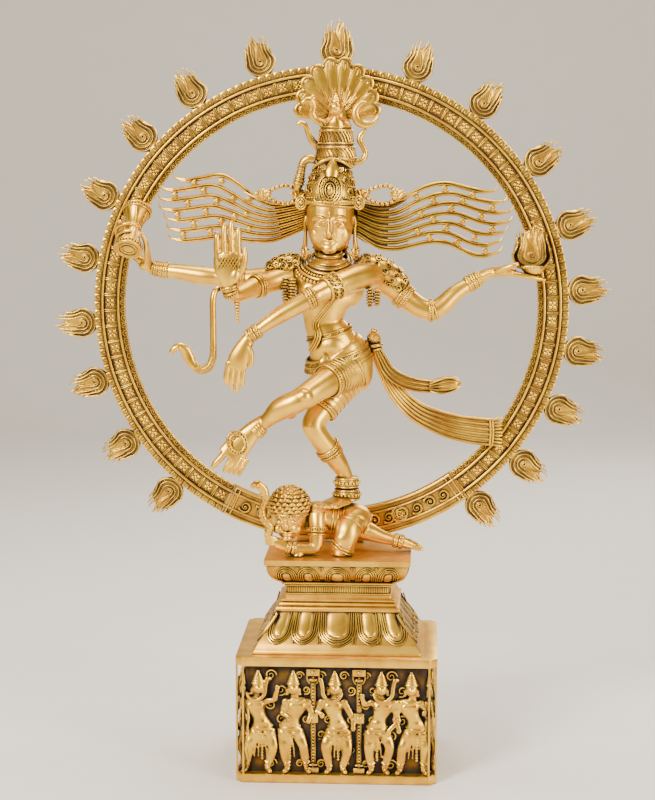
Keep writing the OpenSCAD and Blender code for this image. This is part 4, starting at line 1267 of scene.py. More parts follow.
# %% Dancer: torso
trunk = Limb([[14, -4, 203, 24, 18], [11, -6, 214, 35, 24], [6, -8, 228, 33, 25], [1, -10, 240, 29, 22],
              [-5, -12, 254, 24.5, 19], [-10, -12, 264, 21.5, 17], [-10, -12, 275, 24.5, 18],
              [-9, -10, 291, 33, 21], [-3, -5, 308, 40, 22], [-3, 0, 320, 36, 18], [-2, -4, 331, 16.5, 14.5],
              [-3, -8, 346, 14, 14]])
torso_parts = [trunk.skin(32), ball(-22, -20, 304, 15, 9.5, 12), ball(10, -19, 305, 15, 9.5, 12),
               ball(0, -22, 240, 19, 12, 15), ball(-3, 4, 316, 40, 14, 13), ball(-43, 5, 318, 15, 15, 14),
               ball(41, 4, 318, 15, 15, 14), ball(8, 8, 212, 32, 18, 18)]
flesh("torso", torso_parts, 1.0, 5)

# %% [markdown]
# Four arms. Each is lofted from shoulder to wrist and its hand is built up from a palm and single
# fingers, then all are melted together, which leaves soft creases where the fingers meet.

# %% Dancer: arms
upper_right = Limb([[-40, 6, 318, 15, 14], [-50, 7, 317, 15.5, 14.5], [-70, 9, 314, 14, 13],
                    [-99, 12, 312.5, 12, 12], [-125, 14, 314, 10.8, 11], [-135, 15, 315, 10.3, 10.3],
                    [-150, 15, 316, 11, 10.3], [-177, 18, 320, 9.2, 9], [-201, 20, 323, 7, 7],
                    [-213, 20, 326, 6.6, 6.2]])
hand_parts = [upper_right.skin(), ball(-217, 19, 328, 8, 8, 7)]
for rows in ([[-214, 17, 327, 6, 5.5], [-213, 8, 336, 4.6, 4.4], [-212, -3, 347, 3.4, 3.3],
              [-213, -9, 358, 3.0, 2.8], [-218, -11, 367, 2.3, 2.2]],
             [[-219, 20, 331, 6, 6], [-228, 22, 338, 5.5, 5.5], [-238, 18, 346, 4.2, 4.2],
              [-246, 10, 357, 3.2, 3.2], [-245, -3, 364, 2.9, 2.9], [-237, -10, 368, 2.6, 2.6],
              [-229, -12, 369, 2.1, 2.1]], [[-222, 18, 333, 4.6, 4.6], [-234, 20, 344, 4.0, 4.0],
                                            [-245, 17, 356, 3.2, 3.2], [-248, 8, 367, 3.0, 3.0],
                                            [-245, -1, 373, 2.8, 2.8], [-238, -7, 376, 2.5, 2.5],
                                            [-230, -8, 377, 2.0, 2.0]],
             [[-221, 22, 331, 4.6, 4.6], [-229, 26, 342, 4.1, 4.1], [-240, 26, 357, 3.2, 3.2],
              [-246, 21, 370, 2.8, 2.8], [-245, 12, 379, 2.3, 2.3]]):
    hand_parts.append(loft(rows, 12, 4))
flesh("rear_right_arm", hand_parts, 0.85)

upper_left = Limb([[38, 5, 318, 15, 14], [48, 6, 317, 15.5, 14.5], [67, 8, 306, 14.6, 14],
                   [79, 8, 295.5, 13, 12.8], [97, 8, 282.5, 12, 12], [112, 8, 278, 11.4, 11.4],
                   [124, 9, 283, 11, 11], [139, 12, 297, 9.7, 9.8], [159, 16, 310, 7.5, 7.5],
                   [170, 18, 316, 6.3, 6.6]])
hand_parts = [upper_left.skin()]
for rows in ([[167, 18, 315, 6, 7], [178, 19, 320, 6, 8.5], [196, 20, 322, 6, 11.5],
              [208, 21, 319.5, 5, 11]], [[204, 12, 320, 3.4, 3.6], [216, 11, 318, 3.0, 3.1],
                                         [228, 12, 315.5, 2.6, 2.8], [238, 14, 314, 1.8, 2]],
             [[206, 18, 320, 3.4, 3.6], [219, 18, 317, 3.0, 3.1], [232, 19, 314, 2.6, 2.8],
              [243, 20, 312.5, 1.8, 2]], [[206, 25, 320, 3.4, 3.6], [219, 25.5, 317, 3.0, 3.1],
                                          [231, 26, 314.5, 2.6, 2.8], [241, 26, 313, 1.8, 2]],
             [[202, 30, 320, 3.2, 3.4], [213, 32, 318, 2.8, 2.9], [224, 33, 316, 2.4, 2.5],
              [232, 33, 315, 1.6, 1.8]], [[186, 12, 322, 3.8, 4.2], [196, 6, 327, 3.4, 3.4],
                                          [205, 3, 330, 2.8, 2.8], [211, 4, 332, 2, 2]]):
    hand_parts.append(loft(rows, 12, 4))
flesh("rear_left_arm", hand_parts, 0.85)

lower_right = Limb([[-48, 0, 317, 14, 13], [-58, -5, 315, 13.4, 12.4], [-72, -15, 311, 12.8, 12],
                    [-86, -30, 307, 11.6, 11], [-98, -46, 302, 10, 10], [-106, -57, 300, 8.8, 9],
                    [-110, -62, 304, 7.4, 7.4], [-112, -64.5, 312, 8.4, 6.2]])
hand_parts = [lower_right.skin(), loft([[-111, -63, 306, 7, 6], [-112, -65, 314, 9.5, 6],
                                        [-112, -66, 326, 15.6, 6.2], [-112, -66, 338, 17, 5.8],
                                        [-112, -66, 347, 15.6, 5.2]], 20, 4)]
for x, top in ((-124.8, 371), (-116.8, 380), (-108.8, 383), (-101.0, 376)):
    hand_parts.append(loft([[x + 1.2, -66, 340, 4.1, 4.4], [x, -66.5, 352, 3.8, 4.0],
                            [x, -67, (352 + top) / 2 + 3, 3.4, 3.6], [x + 0.3, -66.5, top - 3, 2.9, 3.0],
                            [x + 0.5, -66, top, 1.8, 1.9]], 12, 4))
hand_parts.append(loft([[-101, -66, 322, 5, 4.6], [-95.5, -68.5, 334, 4.1, 4], [-93.4, -69.5, 345, 3.3, 3.3],
                        [-93.6, -69, 354, 2.2, 2.2]], 12, 4))
hand_parts.append(ball(-105, -69.5, 322, 5.5, 3.6, 9, 12))
flesh("front_right_arm", hand_parts, 0.75)

across_arm = Limb([[52, -1, 319, 13, 13], [46, -6, 319, 14.5, 14], [36, -18, 319, 15, 14.6],
                   [23, -30, 316, 15, 14.6], [8, -45, 311, 13.6, 13.4], [-9, -58, 304, 11.4, 11.6],
                   [-23, -67, 297, 10.4, 10.4], [-54, -74, 280, 9.2, 9.2], [-79, -78, 263, 6.6, 6.8],
                   [-89, -78.5, 256, 6.0, 6.2]])
hand_parts = [across_arm.skin(), loft([[-86, -78, 259, 6, 5.6], [-93, -79, 247, 9, 5.6],
                                       [-99, -80, 233, 12, 5.4], [-103, -80, 221, 11.8, 4.8]], 20, 4)]
for x, top in ((-114.5, 202), (-108.5, 195.5), (-102.2, 193), (-96, 199)):
    hand_parts.append(loft([[x + 3.2, -80, 228, 3.3, 3.9], [x + 1, -80.5, 217, 3.1, 3.3],
                            [x, -80.5, (217 + top) / 2, 2.8, 3.0], [x + 0.6, -79.5, top + 2, 2.2, 2.4],
                            [x + 1.2, -79, top, 1.4, 1.6]], 12, 4))
hand_parts.append(loft([[-90, -80, 248, 4, 4], [-86, -83, 238, 3.4, 3.4], [-85.6, -84, 229, 2.8, 2.8],
                        [-87, -83.5, 222, 1.9, 1.9]], 12, 4))
flesh("front_left_arm", hand_parts, 0.75)

# %% [markdown]
# Legs: the standing one bent at the knee, the other thrown across the body. A kneecap, a calf and
# toes are added before melting. The feet are turned out.

# %% Dancer: legs
standing = Limb([[9, -10, 194, 18, 17], [-5, -24, 176, 16, 15], [-15, -33, 162, 14, 13.5],
                 [-20, -38, 151, 13, 13], [-13, -34, 137, 12.3, 12.5], [-3, -27, 122, 12.8, 12.6],
                 [7, -21, 106, 10.8, 10.8], [14, -16, 93, 8.6, 8.6], [18, -14, 80, 7.6, 7.8],
                 [19, -14, 70, 8.6, 9], [18, -15, 61, 11, 13]])
leg_parts = [standing.skin(26), ball(-21, -44, 151, 9, 7, 9.5, -30), ball(2, -17, 119, 9, 8, 17, -25)]
leg_parts.append(loft([[16, 6, 62, 9, 4.5], [15, -8, 63, 12, 7], [10, -22, 62, 15, 5.6],
                       [2, -34, 61, 15.5, 4.4], [-4, -42, 60.4, 12, 3.4]], 16, 4, (0, 0, 1)))
for k, (x, y) in enumerate(((-16, -47), (-11.5, -49.5), (-6.8, -51), (-2, -51.5), (4.5, -50.5))):
    big = 1.45 if k == 4 else 1.0
    leg_parts.append(loft([[x + 5, y + 10, 60, 2.8 * big, 3], [x + 1, y + 3, 59.6, 2.6 * big, 2.7],
                           [x - 0.6, y, 59.2, 1.6 * big, 1.8]], 10, 4, (0, 0, 1)))
flesh("standing_leg", leg_parts, 0.9)

raised = Limb([[23, -15, 213, 22, 20], [7, -32, 207, 19, 18], [-8, -52, 200, 16, 15], [-25, -69, 190, 14, 14],
               [-36, -76, 184, 13, 12.4], [-54, -74, 175, 12.8, 11.4], [-66, -72.5, 165, 9.4, 8.6],
               [-75, -72, 156, 6.8, 6.8], [-82, -73, 148, 7, 6.8]])
leg_parts = [raised.skin(26), ball(-28, -80, 190, 10, 8, 9), ball(-50, -70, 174, 15, 9, 9, 35)]
leg_parts.append(loft([[-72, -70, 163, 6, 6.5], [-81, -72.5, 155, 9, 7], [-92, -75.5, 143, 12, 6.6],
                       [-103, -79, 131, 14.4, 5.8], [-112, -82, 121, 14.6, 4.8]], 18, 4))
for k in range(4):
    x, z = -111.5 + 5.6 * k, 116.5 - 1.2 * k
    leg_parts.append(loft([[x + 4, -81.5, z + 7, 3, 3.6], [x, -82.6, z, 2.7, 3.2],
                           [x - 3.4, -83.6, z - 7, 2.6, 2.9], [x - 6.2, -84, z - 12.5, 1.6, 1.9]], 12, 4))
leg_parts.append(loft([[-113, -81, 131, 4.4, 4.4], [-119, -82.5, 123, 4.0, 4.0], [-126, -84, 115, 3.8, 3.6],
                       [-130.5, -84.5, 109.5, 2.2, 2.2]], 12, 4))
flesh("raised_leg", leg_parts, 0.85)

# %% [markdown]
# The head. The face is a general one, calm, on the sculptor's rule of three equal parts: chin to nose,
# nose to brow, brow to hair. It isn't a portrait. Skull, cheeks, jaw, nose, lids, lips and long
# ears are pressed together and melted at half a millimetre, so the lids and lips stay crisp.

# %% Dancer: head
FX = -2.5


def head_parts():
    parts = [ball(FX, -9, 386, 27, 24.5, 24), loft([[FX, -14, 347, 13, 11], [FX, -13, 353, 19.5, 17.4],
                                                    [FX, -12, 364, 24, 20.5], [FX, -11, 376, 26, 22.5],
                                                    [FX, -9, 392, 26.5, 24], [FX, -8, 404, 24, 23]], 32, 5),
             ball(FX, -26.5, 350.5, 9.5, 6.4, 6.2), ball(FX, -20, 355, 15.5, 12, 9)]
    for s in (-1, 1):
        parts.append(ball(FX + 12.0 * s, -22.4, 366.5, 10.5, 6.6, 11))
        parts.append(ball(FX + 11.0 * s, -28.2, 377.0, 7.4, 4.4, 4.6))
        parts.append(loft([[FX + 3.0 * s, -33.0, 381.6, 1.3, 1.4], [FX + 7.5 * s, -33.0, 385.2, 1.5, 1.6],
                           [FX + 13.5 * s, -30.4, 386.2, 1.4, 1.5],
                           [FX + 19.5 * s, -25.4, 382.4, 0.9, 1.1]], 8, 5))
        for top, rise, thick in ((1, 3.4, 1.25), (-1, -2.7, 1.0)):
            parts.append(loft([[FX + 4.4 * s, -31.6, 376.2, 0.6, 0.7],
                               [FX + 7.4 * s, -32.6, 377.2 + rise * 0.8, thick, thick],
                               [FX + 11.0 * s, -32.6, 377.2 + rise, thick, thick],
                               [FX + 14.6 * s, -30.8, 377.2 + rise * 0.62, thick * 0.9, thick * 0.9],
                               [FX + 18.0 * s, -27.6, 377.6, 0.6, 0.6]], 8, 5))
        parts.append(ball(FX + 3.6 * s, -33.4, 365.0, 2.5, 2.6, 2.2))
        parts.append(loft([[FX + 27 * s, -7, 386, 2.0, 4.5], [FX + 28.5 * s, -7, 379, 2.2, 5.6],
                           [FX + 28 * s, -8, 371, 1.9, 4.2], [FX + 28 * s, -9, 362, 2.3, 3.6],
                           [FX + 28.5 * s, -9, 353, 2.9, 3.4], [FX + 28.5 * s, -9, 348, 2.4, 2.6]], 12, 5))
    parts.append(loft([[FX, -31.0, 383.5, 2.6, 2.2], [FX, -33.2, 378, 2.3, 2.6], [FX, -35.6, 371.5, 2.6, 3.0],
                       [FX, -37.2, 366.4, 3.0, 3.0], [FX, -35.0, 363.6, 2.8, 2.2]], 14, 5))
    parts.append(loft([[FX - 8.6, -29.8, 358.2, 0.7, 0.8], [FX - 4.6, -32.4, 359.0, 0.95, 1.2],
                       [FX - 1.6, -33.5, 359.5, 1.15, 1.4], [FX, -33.5, 359.1, 1.1, 1.3],
                       [FX + 1.6, -33.5, 359.5, 1.15, 1.4], [FX + 4.6, -32.4, 359.0, 0.95, 1.2],
                       [FX + 8.6, -29.8, 358.2, 0.7, 0.8]], 10, 4, (0, 0, 1)))
    parts.append(loft([[FX - 8.0, -29.8, 357.6, 0.7, 0.8], [FX - 4.0, -32.2, 356.2, 1.15, 1.4],
                       [FX, -33.0, 355.8, 1.4, 1.6], [FX + 4.0, -32.2, 356.2, 1.15, 1.4],
                       [FX + 8.0, -29.8, 357.6, 0.7, 0.8]], 10, 4, (0, 0, 1)))
    return parts


flesh("head", head_parts(), 0.55)
face_parts = [ball(FX, -34.0, 388.5, 1.5, 1.2, 4.2)]
for s in (-1, 1):
    face_parts.append(loft([[FX + 5.2 * s, -33.3, 376.6, 0.35, 0.35], [FX + 11 * s, -33.6, 376.0, 0.5, 0.5],
                            [FX + 17 * s, -29.6, 377.2, 0.35, 0.35]], 6, 4))
    face_parts.append(loop_tube(ellipse((FX + 28.8 * s, -9, 348), 4.6, 1.8, 0, 0, 20), 1.0))
    face_parts.append(loop_tube([(FX + 29 * s + 7.5 * math.cos(a) * 0.35 * s, -10 + 7.5 * math.cos(a) * 0.6,
                                  345 + 7.5 * math.sin(a)) for a in angles(28)], 1.7))
    face_parts.append(ball(FX + 29.5 * s, -12, 345, 3.2, 2.4, 3.2))
brazed("face_marks_and_earrings", face_parts)

# %% [markdown]
# The crown of matted hair: a dome with an oval medallion, then stacked bands tied round a column, a
# horn, a small snake and a tassel at its sides. Bands are closed wires with slanting hatching between.

# %% Crown
MEDAL_X, MEDAL_Z = -1.5, 416
dome = Limb([[FX, -8, 396, 27.5, 25.5], [-2, -8, 402, 28.6, 26], [-2, -8, 411, 28.6, 26],
             [-1, -6, 424, 25.6, 24], [0, -3, 437, 21, 20], [2, 0, 447, 16, 16]])
column = Limb([[3, 1, 443, 19, 19], [3.5, 2, 448, 22, 22], [3.5, 2, 453, 22.5, 22.5],
               [3.5, 2, 462, 20.5, 20.5], [3.5, 2, 473, 18.5, 18.5], [3.5, 2, 484, 17.5, 17.5],
               [3.5, 2, 492, 14, 14], [3.5, 2, 496, 10, 10]])
crown_parts = [dome.skin(40), column.skin(40)]
horn_left = [[-15, 4, 462, 5, 4.5], [-22, 4, 468, 4.4, 4], [-27, 4, 477, 3.8, 3.6], [-31, 4, 487, 3.2, 3],
             [-37, 4, 490, 3.0, 2.8], [-42, 4, 488, 1.6, 1.6]]
snake_right = [[16, -4, 448, 3.6, 3.6], [26, -4, 446, 3.6, 3.6], [34, -3, 449, 3.4, 3.4],
               [37, -2, 456, 3.2, 3.2], [34, -2, 464, 3.2, 3.0], [30.5, -2, 470, 3.6, 3.0],
               [31.5, -2, 476, 3.6, 2.6], [36, -2, 481, 2.4, 2], [37, -2, 484, 1, 1]]
crown_parts += [loft(horn_left, 14, 5), loft(snake_right, 14, 5)]
crown_parts += [loft([[-19, -6, 449, 5, 4.5], [-27, -6, 450, 5, 4.5], [-33, -6, 446, 4.6, 4.2],
                      [-35, -6, 438, 4.4, 4.2], [-37, -6, 428, 5.6, 5], [-39, -6, 420, 5.6, 5],
                      [-40, -6, 414, 3, 3]], 14, 5)]
crown_skin = cast("crown_skin", crown_parts, 0.9, 3)
adopt(crown_skin, CARVED, angle=180, replaces=("crown",))

orn = []
for t, size in ((0.24, 4.4), (0.42, 4.6), (0.60, 4.4), (0.76, 3.8)):
    for k in range(14):
        degrees = -90 + 360 * (k + 0.5) / 14 + (13 if t in (0.42, 0.76) else 0)
        orn.append(scroll_at(dome, t, degrees, size, 1.0, 1.5, 1 if k % 2 else -1))
for t in (0.33, 0.52, 0.70):
    orn.append(beads(spaced(dome.around(t, 0.4, 60), 3.4), 1.1))
for t, tube in ((0.03, 1.7), (0.17, 1.2), (0.23, 1.2), (0.44, 1.5), (0.50, 1.2), (0.68, 1.5), (0.74, 1.1),
                (0.88, 1.4)):
    orn.append(hoop(column, t, 0.6, tube))
for low, high in ((0.04, 0.17), (0.24, 0.44), (0.51, 0.68), (0.75, 0.88)):
    a, b = column.around(low, 0.5, 56), column.around(high, 0.5, 56)
    for k in range(56):
        if k % 2 == 0:
            orn.append(wire([a[k], (a[k] + b[(k + 2) % 56]) / 2, b[(k + 3) % 56]], 0.95, 5, 1))
for t, tube in ((0.10, 1.3), (0.17, 0.9), (0.24, 1.3)):
    orn.append(hoop(dome, t, 0.8, tube))
orn.append(beads(spaced(dome.around(0.205, 1.0, 60), 2.9), 1.25))
for rx, rz, tube in ((13.2, 17.0, 1.0), (10.6, 14.0, 0.9), (8.0, 11.0, 0.8), (5.2, 7.6, 0.8)):
    oval = []
    for k in range(36):
        a = 2 * math.pi * k / 36
        x, z = rx * math.cos(a), rz * math.sin(a)
        y = -35.2 + 0.010 * x * x + max(0, z + 4) * 0.24
        oval.append((MEDAL_X + x, y, MEDAL_Z + z))
    orn.append(loop_tube(oval, tube))
orn.append(ball(MEDAL_X, -34.5, MEDAL_Z, 3.6, 2.6, 5.6))
orn.append(beads([(MEDAL_X + 9.3 * math.cos(a), -34.6, MEDAL_Z + 12.5 * math.sin(a)) for a in
                  angles(22)], 0.9))
orn.append(loft([[0, -31, 430, 7.5, 4], [0.5, -29, 437, 8.5, 4.6], [1, -26.5, 445, 5, 3.6],
                 [1, -24.5, 452, 1.2, 1.2]], 14, 5))
orn.append(wire([(-21, -17, 440), (-13, -24.5, 446.5), (0, -25.5, 450), (13, -23, 446.5), (22, -14, 440)],
                1.8, 8, 5))
for s in (-1, 1):
    for k in range(4):
        orn.append(spiral_on(MEDAL_X + (17.5 + 1.2 * (k % 2)) * s, -27.5 + 1.4 * k + 1.2 * (k % 2),
                             404 + 8.4 * k, 4.2, 1.3, 0.8, k, s))
    for z, r in ((401, 7.2), (401, 4.6)):
        orn.append(loop_tube([(FX + 32.5 * s + r * math.cos(a) * 0.8, -17 - 0.2 * abs(r * math.cos(a)),
                               z + r * math.sin(a)) for a in angles(24)], 1.15))
    orn.append(ball(FX + 32.5 * s, -17.5, 401, 2.6, 2.2, 2.6))
tassel = Limb([[-33, -6, 446, 4.6, 4.2], [-35, -6, 438, 4.4, 4.2], [-37, -6, 428, 5.6, 5],
               [-39, -6, 420, 5.6, 5]])
orn += [hoop(tassel, t, 0.5, 0.8) for t in (0.15, 0.3, 0.45, 0.6, 0.75, 0.9)]
brazed("crown_ornament", orn)

# %% [markdown]
# The fan of feathers stands behind the crown: ten rounded lobes, each with four fine ribs and a rim on
# both faces, modelled as separate rolls spread from one point and then melted together. A curved socket
# carries it down into the back of the column.

# %% Crown fan, crescent, bust and snake
fan_parts, fan_ribs = [], []
LOBES = 10
FAN_X, FAN_Z = 4, 494
for i in range(LOBES):
    a = math.radians(167 - 154 * i / (LOBES - 1))
    reach = 69.5 - 15 * math.cos(a) ** 2
    ux, uz = math.cos(a) * 0.87, math.sin(a)
    px, pz = -math.sin(a), math.cos(a) * 0.87
    rows = []
    for r, w, d in ((6, 2.0, 2.6), (20, 4.2, 3.2), (36, 6.6, 3.4), (50, 8.0, 3.2), (60, 7.2, 3.0),
                    (reach - 1, 4.2, 2.2)):
        rows.append([FAN_X + ux * min(r, reach - 2), 24.5 - (r / 66) * 1.5, FAN_Z + uz * min(r, reach - 2),
                     w * 1.22, d])
    fan_parts.append(loft(rows[:4] + [[FAN_X + ux * (reach - 8), 23.4, FAN_Z + uz * (reach - 8), 9.8, 3.0],
                                      [FAN_X + ux * (reach - 2.5), 23.2, FAN_Z + uz * (reach - 2.5), 6.0,
                                       2.4]], 14, 4))
    fan_parts.append(ball(FAN_X + ux * (reach - 7.2), 23.4, FAN_Z + uz * (reach - 7.2), 9.8, 2.7, 9.0))
    for side in (1, -1):
        y = 24.3 - side * 3.5
        for k in (-0.62, -0.2, 0.2, 0.62):
            rib_rows = []
            for r in (9, 22, 38, 52, reach - 4.5):
                w = min(7.0, 1.6 + 0.135 * r)
                off = k * w * (0.75 if r > 56 else 1)
                rib_rows.append((FAN_X + ux * r + px * off, y + side * (0.25 + 0.6 * k * k),
                                 FAN_Z + uz * r + pz * off))
            fan_ribs.append(wire(rib_rows, 0.85, 6, 4))
        rim_rows = []
        for k in range(9):
            b = math.radians(-100 + 200 * k / 8)
            rim_rows.append((FAN_X + ux * (reach - 8 + 7.2 * math.cos(b)) + px * 7.0 * math.sin(b),
                             y + side * 0.3, FAN_Z + uz * (reach - 8 + 7.2 * math.cos(b)) + pz * 7.0
                             * math.sin(b)))
        fan_ribs.append(wire(rim_rows, 0.95, 6, 3))
fan_parts.append(loft([[4, 8, 476, 13, 8], [4, 13, 487, 12, 9], [4, 19, 496, 11, 7], [4, 23, 508, 9, 4]],
                      20, 4))
fan_skin = cast("crown_fan_skin", fan_parts, 0.8, 1, 0.4)
adopt(fan_skin, CARVED, angle=60, replaces=("crown_fan",))
brazed("crown_fan_ribs", fan_ribs, CARVED)

moon = []
for k in range(19):
    t = k / 18
    a = math.radians(88 + 262 * t)
    thick = 0.8 + 4.2 * math.sin(math.pi * t) ** 0.8
    moon.append([38.0 + 12.6 * math.cos(a), -3, 500.5 + 12.6 * math.sin(a), thick,
                 2.2 + 1.2 * math.sin(math.pi * t)])
crescent = loft(moon, 18, 3)
adopt(crescent, SKIN, angle=180, replaces=("crescent",))

bust = [loft([[4, -8, 486, 12, 9], [4, -10, 492, 10, 7], [4, -11, 497, 5, 5], [4, -12, 502, 4, 4]], 16, 4),
        ball(4, -13, 507, 8.2, 8.6, 9.6), loft([[4, -20.6, 508.5, 0.9, 0.9], [4, -22.2, 505.6, 1.3, 1.3],
                                                [4, -21, 504.6, 1, 1]], 8, 3),
        wire([(1.4, -20.2, 501.6), (4, -21.2, 501.2), (6.6, -20.2, 501.6)], 0.7, 6, 3)]
for s in (-1, 1):
    bust.append(ball(4 + 3.0 * s, -20.2, 508, 1.7, 1.0, 0.9))
    bust.append(wire([(4 + 1.2 * s, -20.8, 509.8), (4 + 3.4 * s, -20.6, 510.8),
                      (4 + 5.8 * s, -18.8, 509.8)], 0.45, 6, 3))
for z, r in ((514.5, 7.4), (516.8, 6.0), (519, 4.4), (521.2, 2.8)):
    bust.append(ball(4, -12, z, r, r, 1.5))
bust.append(loft([[-5, -6, 487, 4.4, 4.4], [-12, -7, 490, 4.2, 4.2], [-19, -8, 494, 4.2, 4.0],
                  [-23, -9, 501, 4.6, 3.8], [-21.5, -10, 509, 4.6, 3.6], [-24, -12, 514.5, 4.2, 3.6],
                  [-30, -14, 514.5, 3.2, 2.8], [-34, -15, 511.5, 1.8, 1.8]], 14, 4))
bust.append(ball(-22, -11, 518, 3.8, 3.4, 3.2))
bust_skin = cast("crown_bust_skin", bust, 0.6, 2)
adopt(bust_skin, BRASS, angle=180, replaces=("crown_bust",))
lines = []
for x, z in ((-8, 488.5), (-12.5, 490.3), (-17, 492.8), (-20.6, 496.4), (-23, 501)):
    lines.append(wire([(x - 2.6, -10.6, z + 3.6), (x, -12.6, z), (x + 2.6, -10.6, z - 3.6)], 0.5, 5, 3))
brazed("crown_snake_bands", lines)

# %% [markdown]
# Necklaces, shoulder pieces and the sacred thread. On the real statue they are wires and pearls cast
# with the body and chased, so each line is its own wire that follows the chest.

# %% Necklaces and shoulder pieces
neck = []
for at, rx, ry, drop, tube in (((-3, -7, 343), 15.6, 15.0, 2.0, 1.3), ((-3, -6, 338), 20.5, 19.5, 6.5, 1.6),
                               ((-3, -5.5, 336), 24.5, 22.4, 9.5, 1.5), ((-3, -5, 334), 28.5, 24.8, 12, 1.6),
                               ((-3, -4.5, 330.5), 35.5, 28.0, 15.5, 1.8)):
    neck.append(loop_tube(ellipse(at, rx, ry, 0, drop), tube))
neck.append(beads(spaced(ellipse((-3, -4.8, 332.2), 32.0, 26.6, 0, 13.8), 3.8), 2.0))
neck.append(beads(spaced(ellipse((-3, -4.4, 328), 38.0, 28.6, 0, 17), 4.6)[21:46], 2.3))
neck.append(loft([[-3, -5, 340, 14, 12], [-3, -5.5, 335, 21, 16.5], [-3, -6, 329, 27, 19.5],
                  [-3, -6, 321, 31, 21]], 32, 4))
for side, path in ((-1, [[-34, 2, 331, 8, 10], [-48, 3, 330, 12, 14], [-62, 3, 325, 12.5, 15],
                         [-74, 3, 319, 8, 12]]),
                   (1, [[28, 2, 331, 8, 10], [44, 3, 330, 12, 14], [60, 3, 322, 13.5, 15.5],
                        [74, 4, 311, 11, 14], [83, 6, 302, 6, 10]])):
    pad = Limb(path, 5)
    neck.append(pad.skin(24))
    for t, tube in ((0.08, 1.3), (0.94, 1.5)):
        neck += bangle(pad, t, 0.3, tube, 1.4)
    for k in range(5):
        for degrees in (-190, -160, -130, -100, -70, -40) if side < 0 else (10, -20, -50, -80, -110, -140):
            neck.append(scroll_at(pad, 0.16 + 0.16 * k, degrees + 12 * (k % 2), 4.6, 1.15, 1.4, side))
for x, z, y, length, r in ((-52, 316, -15, 40, 4.1), (-45, 315, -18, 36, 3.6), (43, 305, -24, 24, 3.3),
                           (51, 303, -22, 21, 3.4)):
    steps = int(length / 3.2)
    for k in range(steps):
        size = r * (0.75 + 0.45 * math.sin(math.pi * min(1, 0.15 + k / steps)))
        neck.append(ball(x + 0.4 * (k % 2), y - 1.5, z - 3.2 * k, size, size, 2.1, segments=12, rings=6))
        for c in range(5):
            a = math.radians(-180 + 45 * c + 20 * (k % 2))
            neck.append(ball(x + size * math.cos(a), y - 1.5 + size * math.sin(a), z - 3.2 * k, 1.0, 1.0,
                             1.0, segments=8, rings=5))
brazed("necklaces", neck, replaces=("collar",))
thread = []
for k in range(3):
    thread.append(wire([(29 + 1.2 * k, -18, 327), (17 + 2.2 * k, -28.5, 316), (6 + 2.4 * k, -32.5, 303),
                        (-4 + 2.6 * k, -32.5, 288), (-14 + 2.8 * k, -31.5, 276),
                        (-21 + 2.9 * k, -28.6 - 0.8 * k, 265), (-18 + 2.9 * k, -31.6 - 0.8 * k, 255),
                        (-20 + 2.9 * k, -32.0 - 0.9 * k, 246), (-26 + 2.9 * k, -26.5 - 1.6 * k, 235)], 1.25,
                       7, 5))
brazed("sacred_thread", thread)

# %% [markdown]
# Bangles come in packed stacks of wires with rows of pearls in the grooves, as they do on the real
# statue: stack() sets them by their distance along the limb. The two anklets of the standing leg are
# thick turned rings, so they have their own profile.

# %% Bangles, armlets and anklets
def stack(limb, t, width, count, tube, pearl=1.15):
    rows = np.array(limb.rows)
    run = np.concatenate([[0], np.cumsum(np.linalg.norm(np.diff(rows[:, :3], axis=0), axis=1))])
    index = np.arange(len(rows)) / (len(rows) - 1)
    middle = np.interp(t, index, run)
    grow = tube * 0.45
    spots = [float(np.interp(middle + (k / (count - 1) - 0.5) * width, run, index)) for k in range(count)]
    parts = [hoop(limb, spot, grow, tube) for spot in spots]
    for a, b in list(zip(spots, spots[1:]))[::2]:
        parts.append(beads(spaced(limb.around((a + b) / 2, grow + tube * 0.55, 40), pearl * 2.5), pearl))
    return parts


worn = []
for limb, t, width, count, tube in ((upper_right, 0.36, 9, 4, 1.7), (upper_right, 0.885, 17, 7, 1.6),
                                    (upper_left, 0.345, 9, 4, 1.7), (upper_left, 0.567, 6, 3, 1.5),
                                    (upper_left, 0.90, 15, 6, 1.6), (lower_right, 0.40, 7, 3, 1.6),
                                    (lower_right, 0.905, 9, 4, 1.6), (across_arm, 0.66, 8, 4, 1.6),
                                    (across_arm, 0.945, 15, 6, 1.6), (standing, 0.51, 11, 4, 1.5),
                                    (raised, 0.955, 9, 4, 1.9)):
    worn += stack(limb, t, width, count, tube)
for t in (0.455, 0.525):
    worn += bangle(across_arm, t, 0.8, 1.7, 1.3)
a, b = across_arm.around(0.46, 0.8, 30), across_arm.around(0.52, 0.8, 30)
for k in range(0, 30, 2):
    worn.append(wire([a[k], a[(k + 1) % 30] * 0.5 + b[(k + 1) % 30] * 0.5, b[k]], 0.9, 6, 2))
    worn.append(wire([b[k], a[(k - 1) % 30] * 0.5 + b[(k - 1) % 30] * 0.5, a[k]], 0.9, 6, 2))
worn.append(beads([(a[k] + b[k]) / 2 for k in range(0, 30, 2)], 2.0))
worn.append(Limb([[17, -14, 89, 8, 8], [17, -14, 87, 12.4, 12.4], [17, -14, 82, 13.6, 13.6],
                  [17, -14, 77, 12.4, 12.4], [17, -14, 75, 11, 11], [17, -14, 73.4, 12.8, 12.8],
                  [17, -14, 68, 14.8, 14.8], [17, -14, 63.5, 13.6, 13.6], [17, -14, 62, 10, 10]]).skin(36))
for z, r, tube in ((87, 12.8, 1.3), (78, 13, 1.2), (73.6, 13.4, 1.3), (63.6, 14.4, 1.5)):
    worn.append(loop_tube(ellipse((17, -14, z), r, r), tube))
for z, r in ((82.5, 14.2), (68.5, 15.4)):
    worn.append(beads(spaced(ellipse((17, -14, z), r, r), 4.2), 1.9))
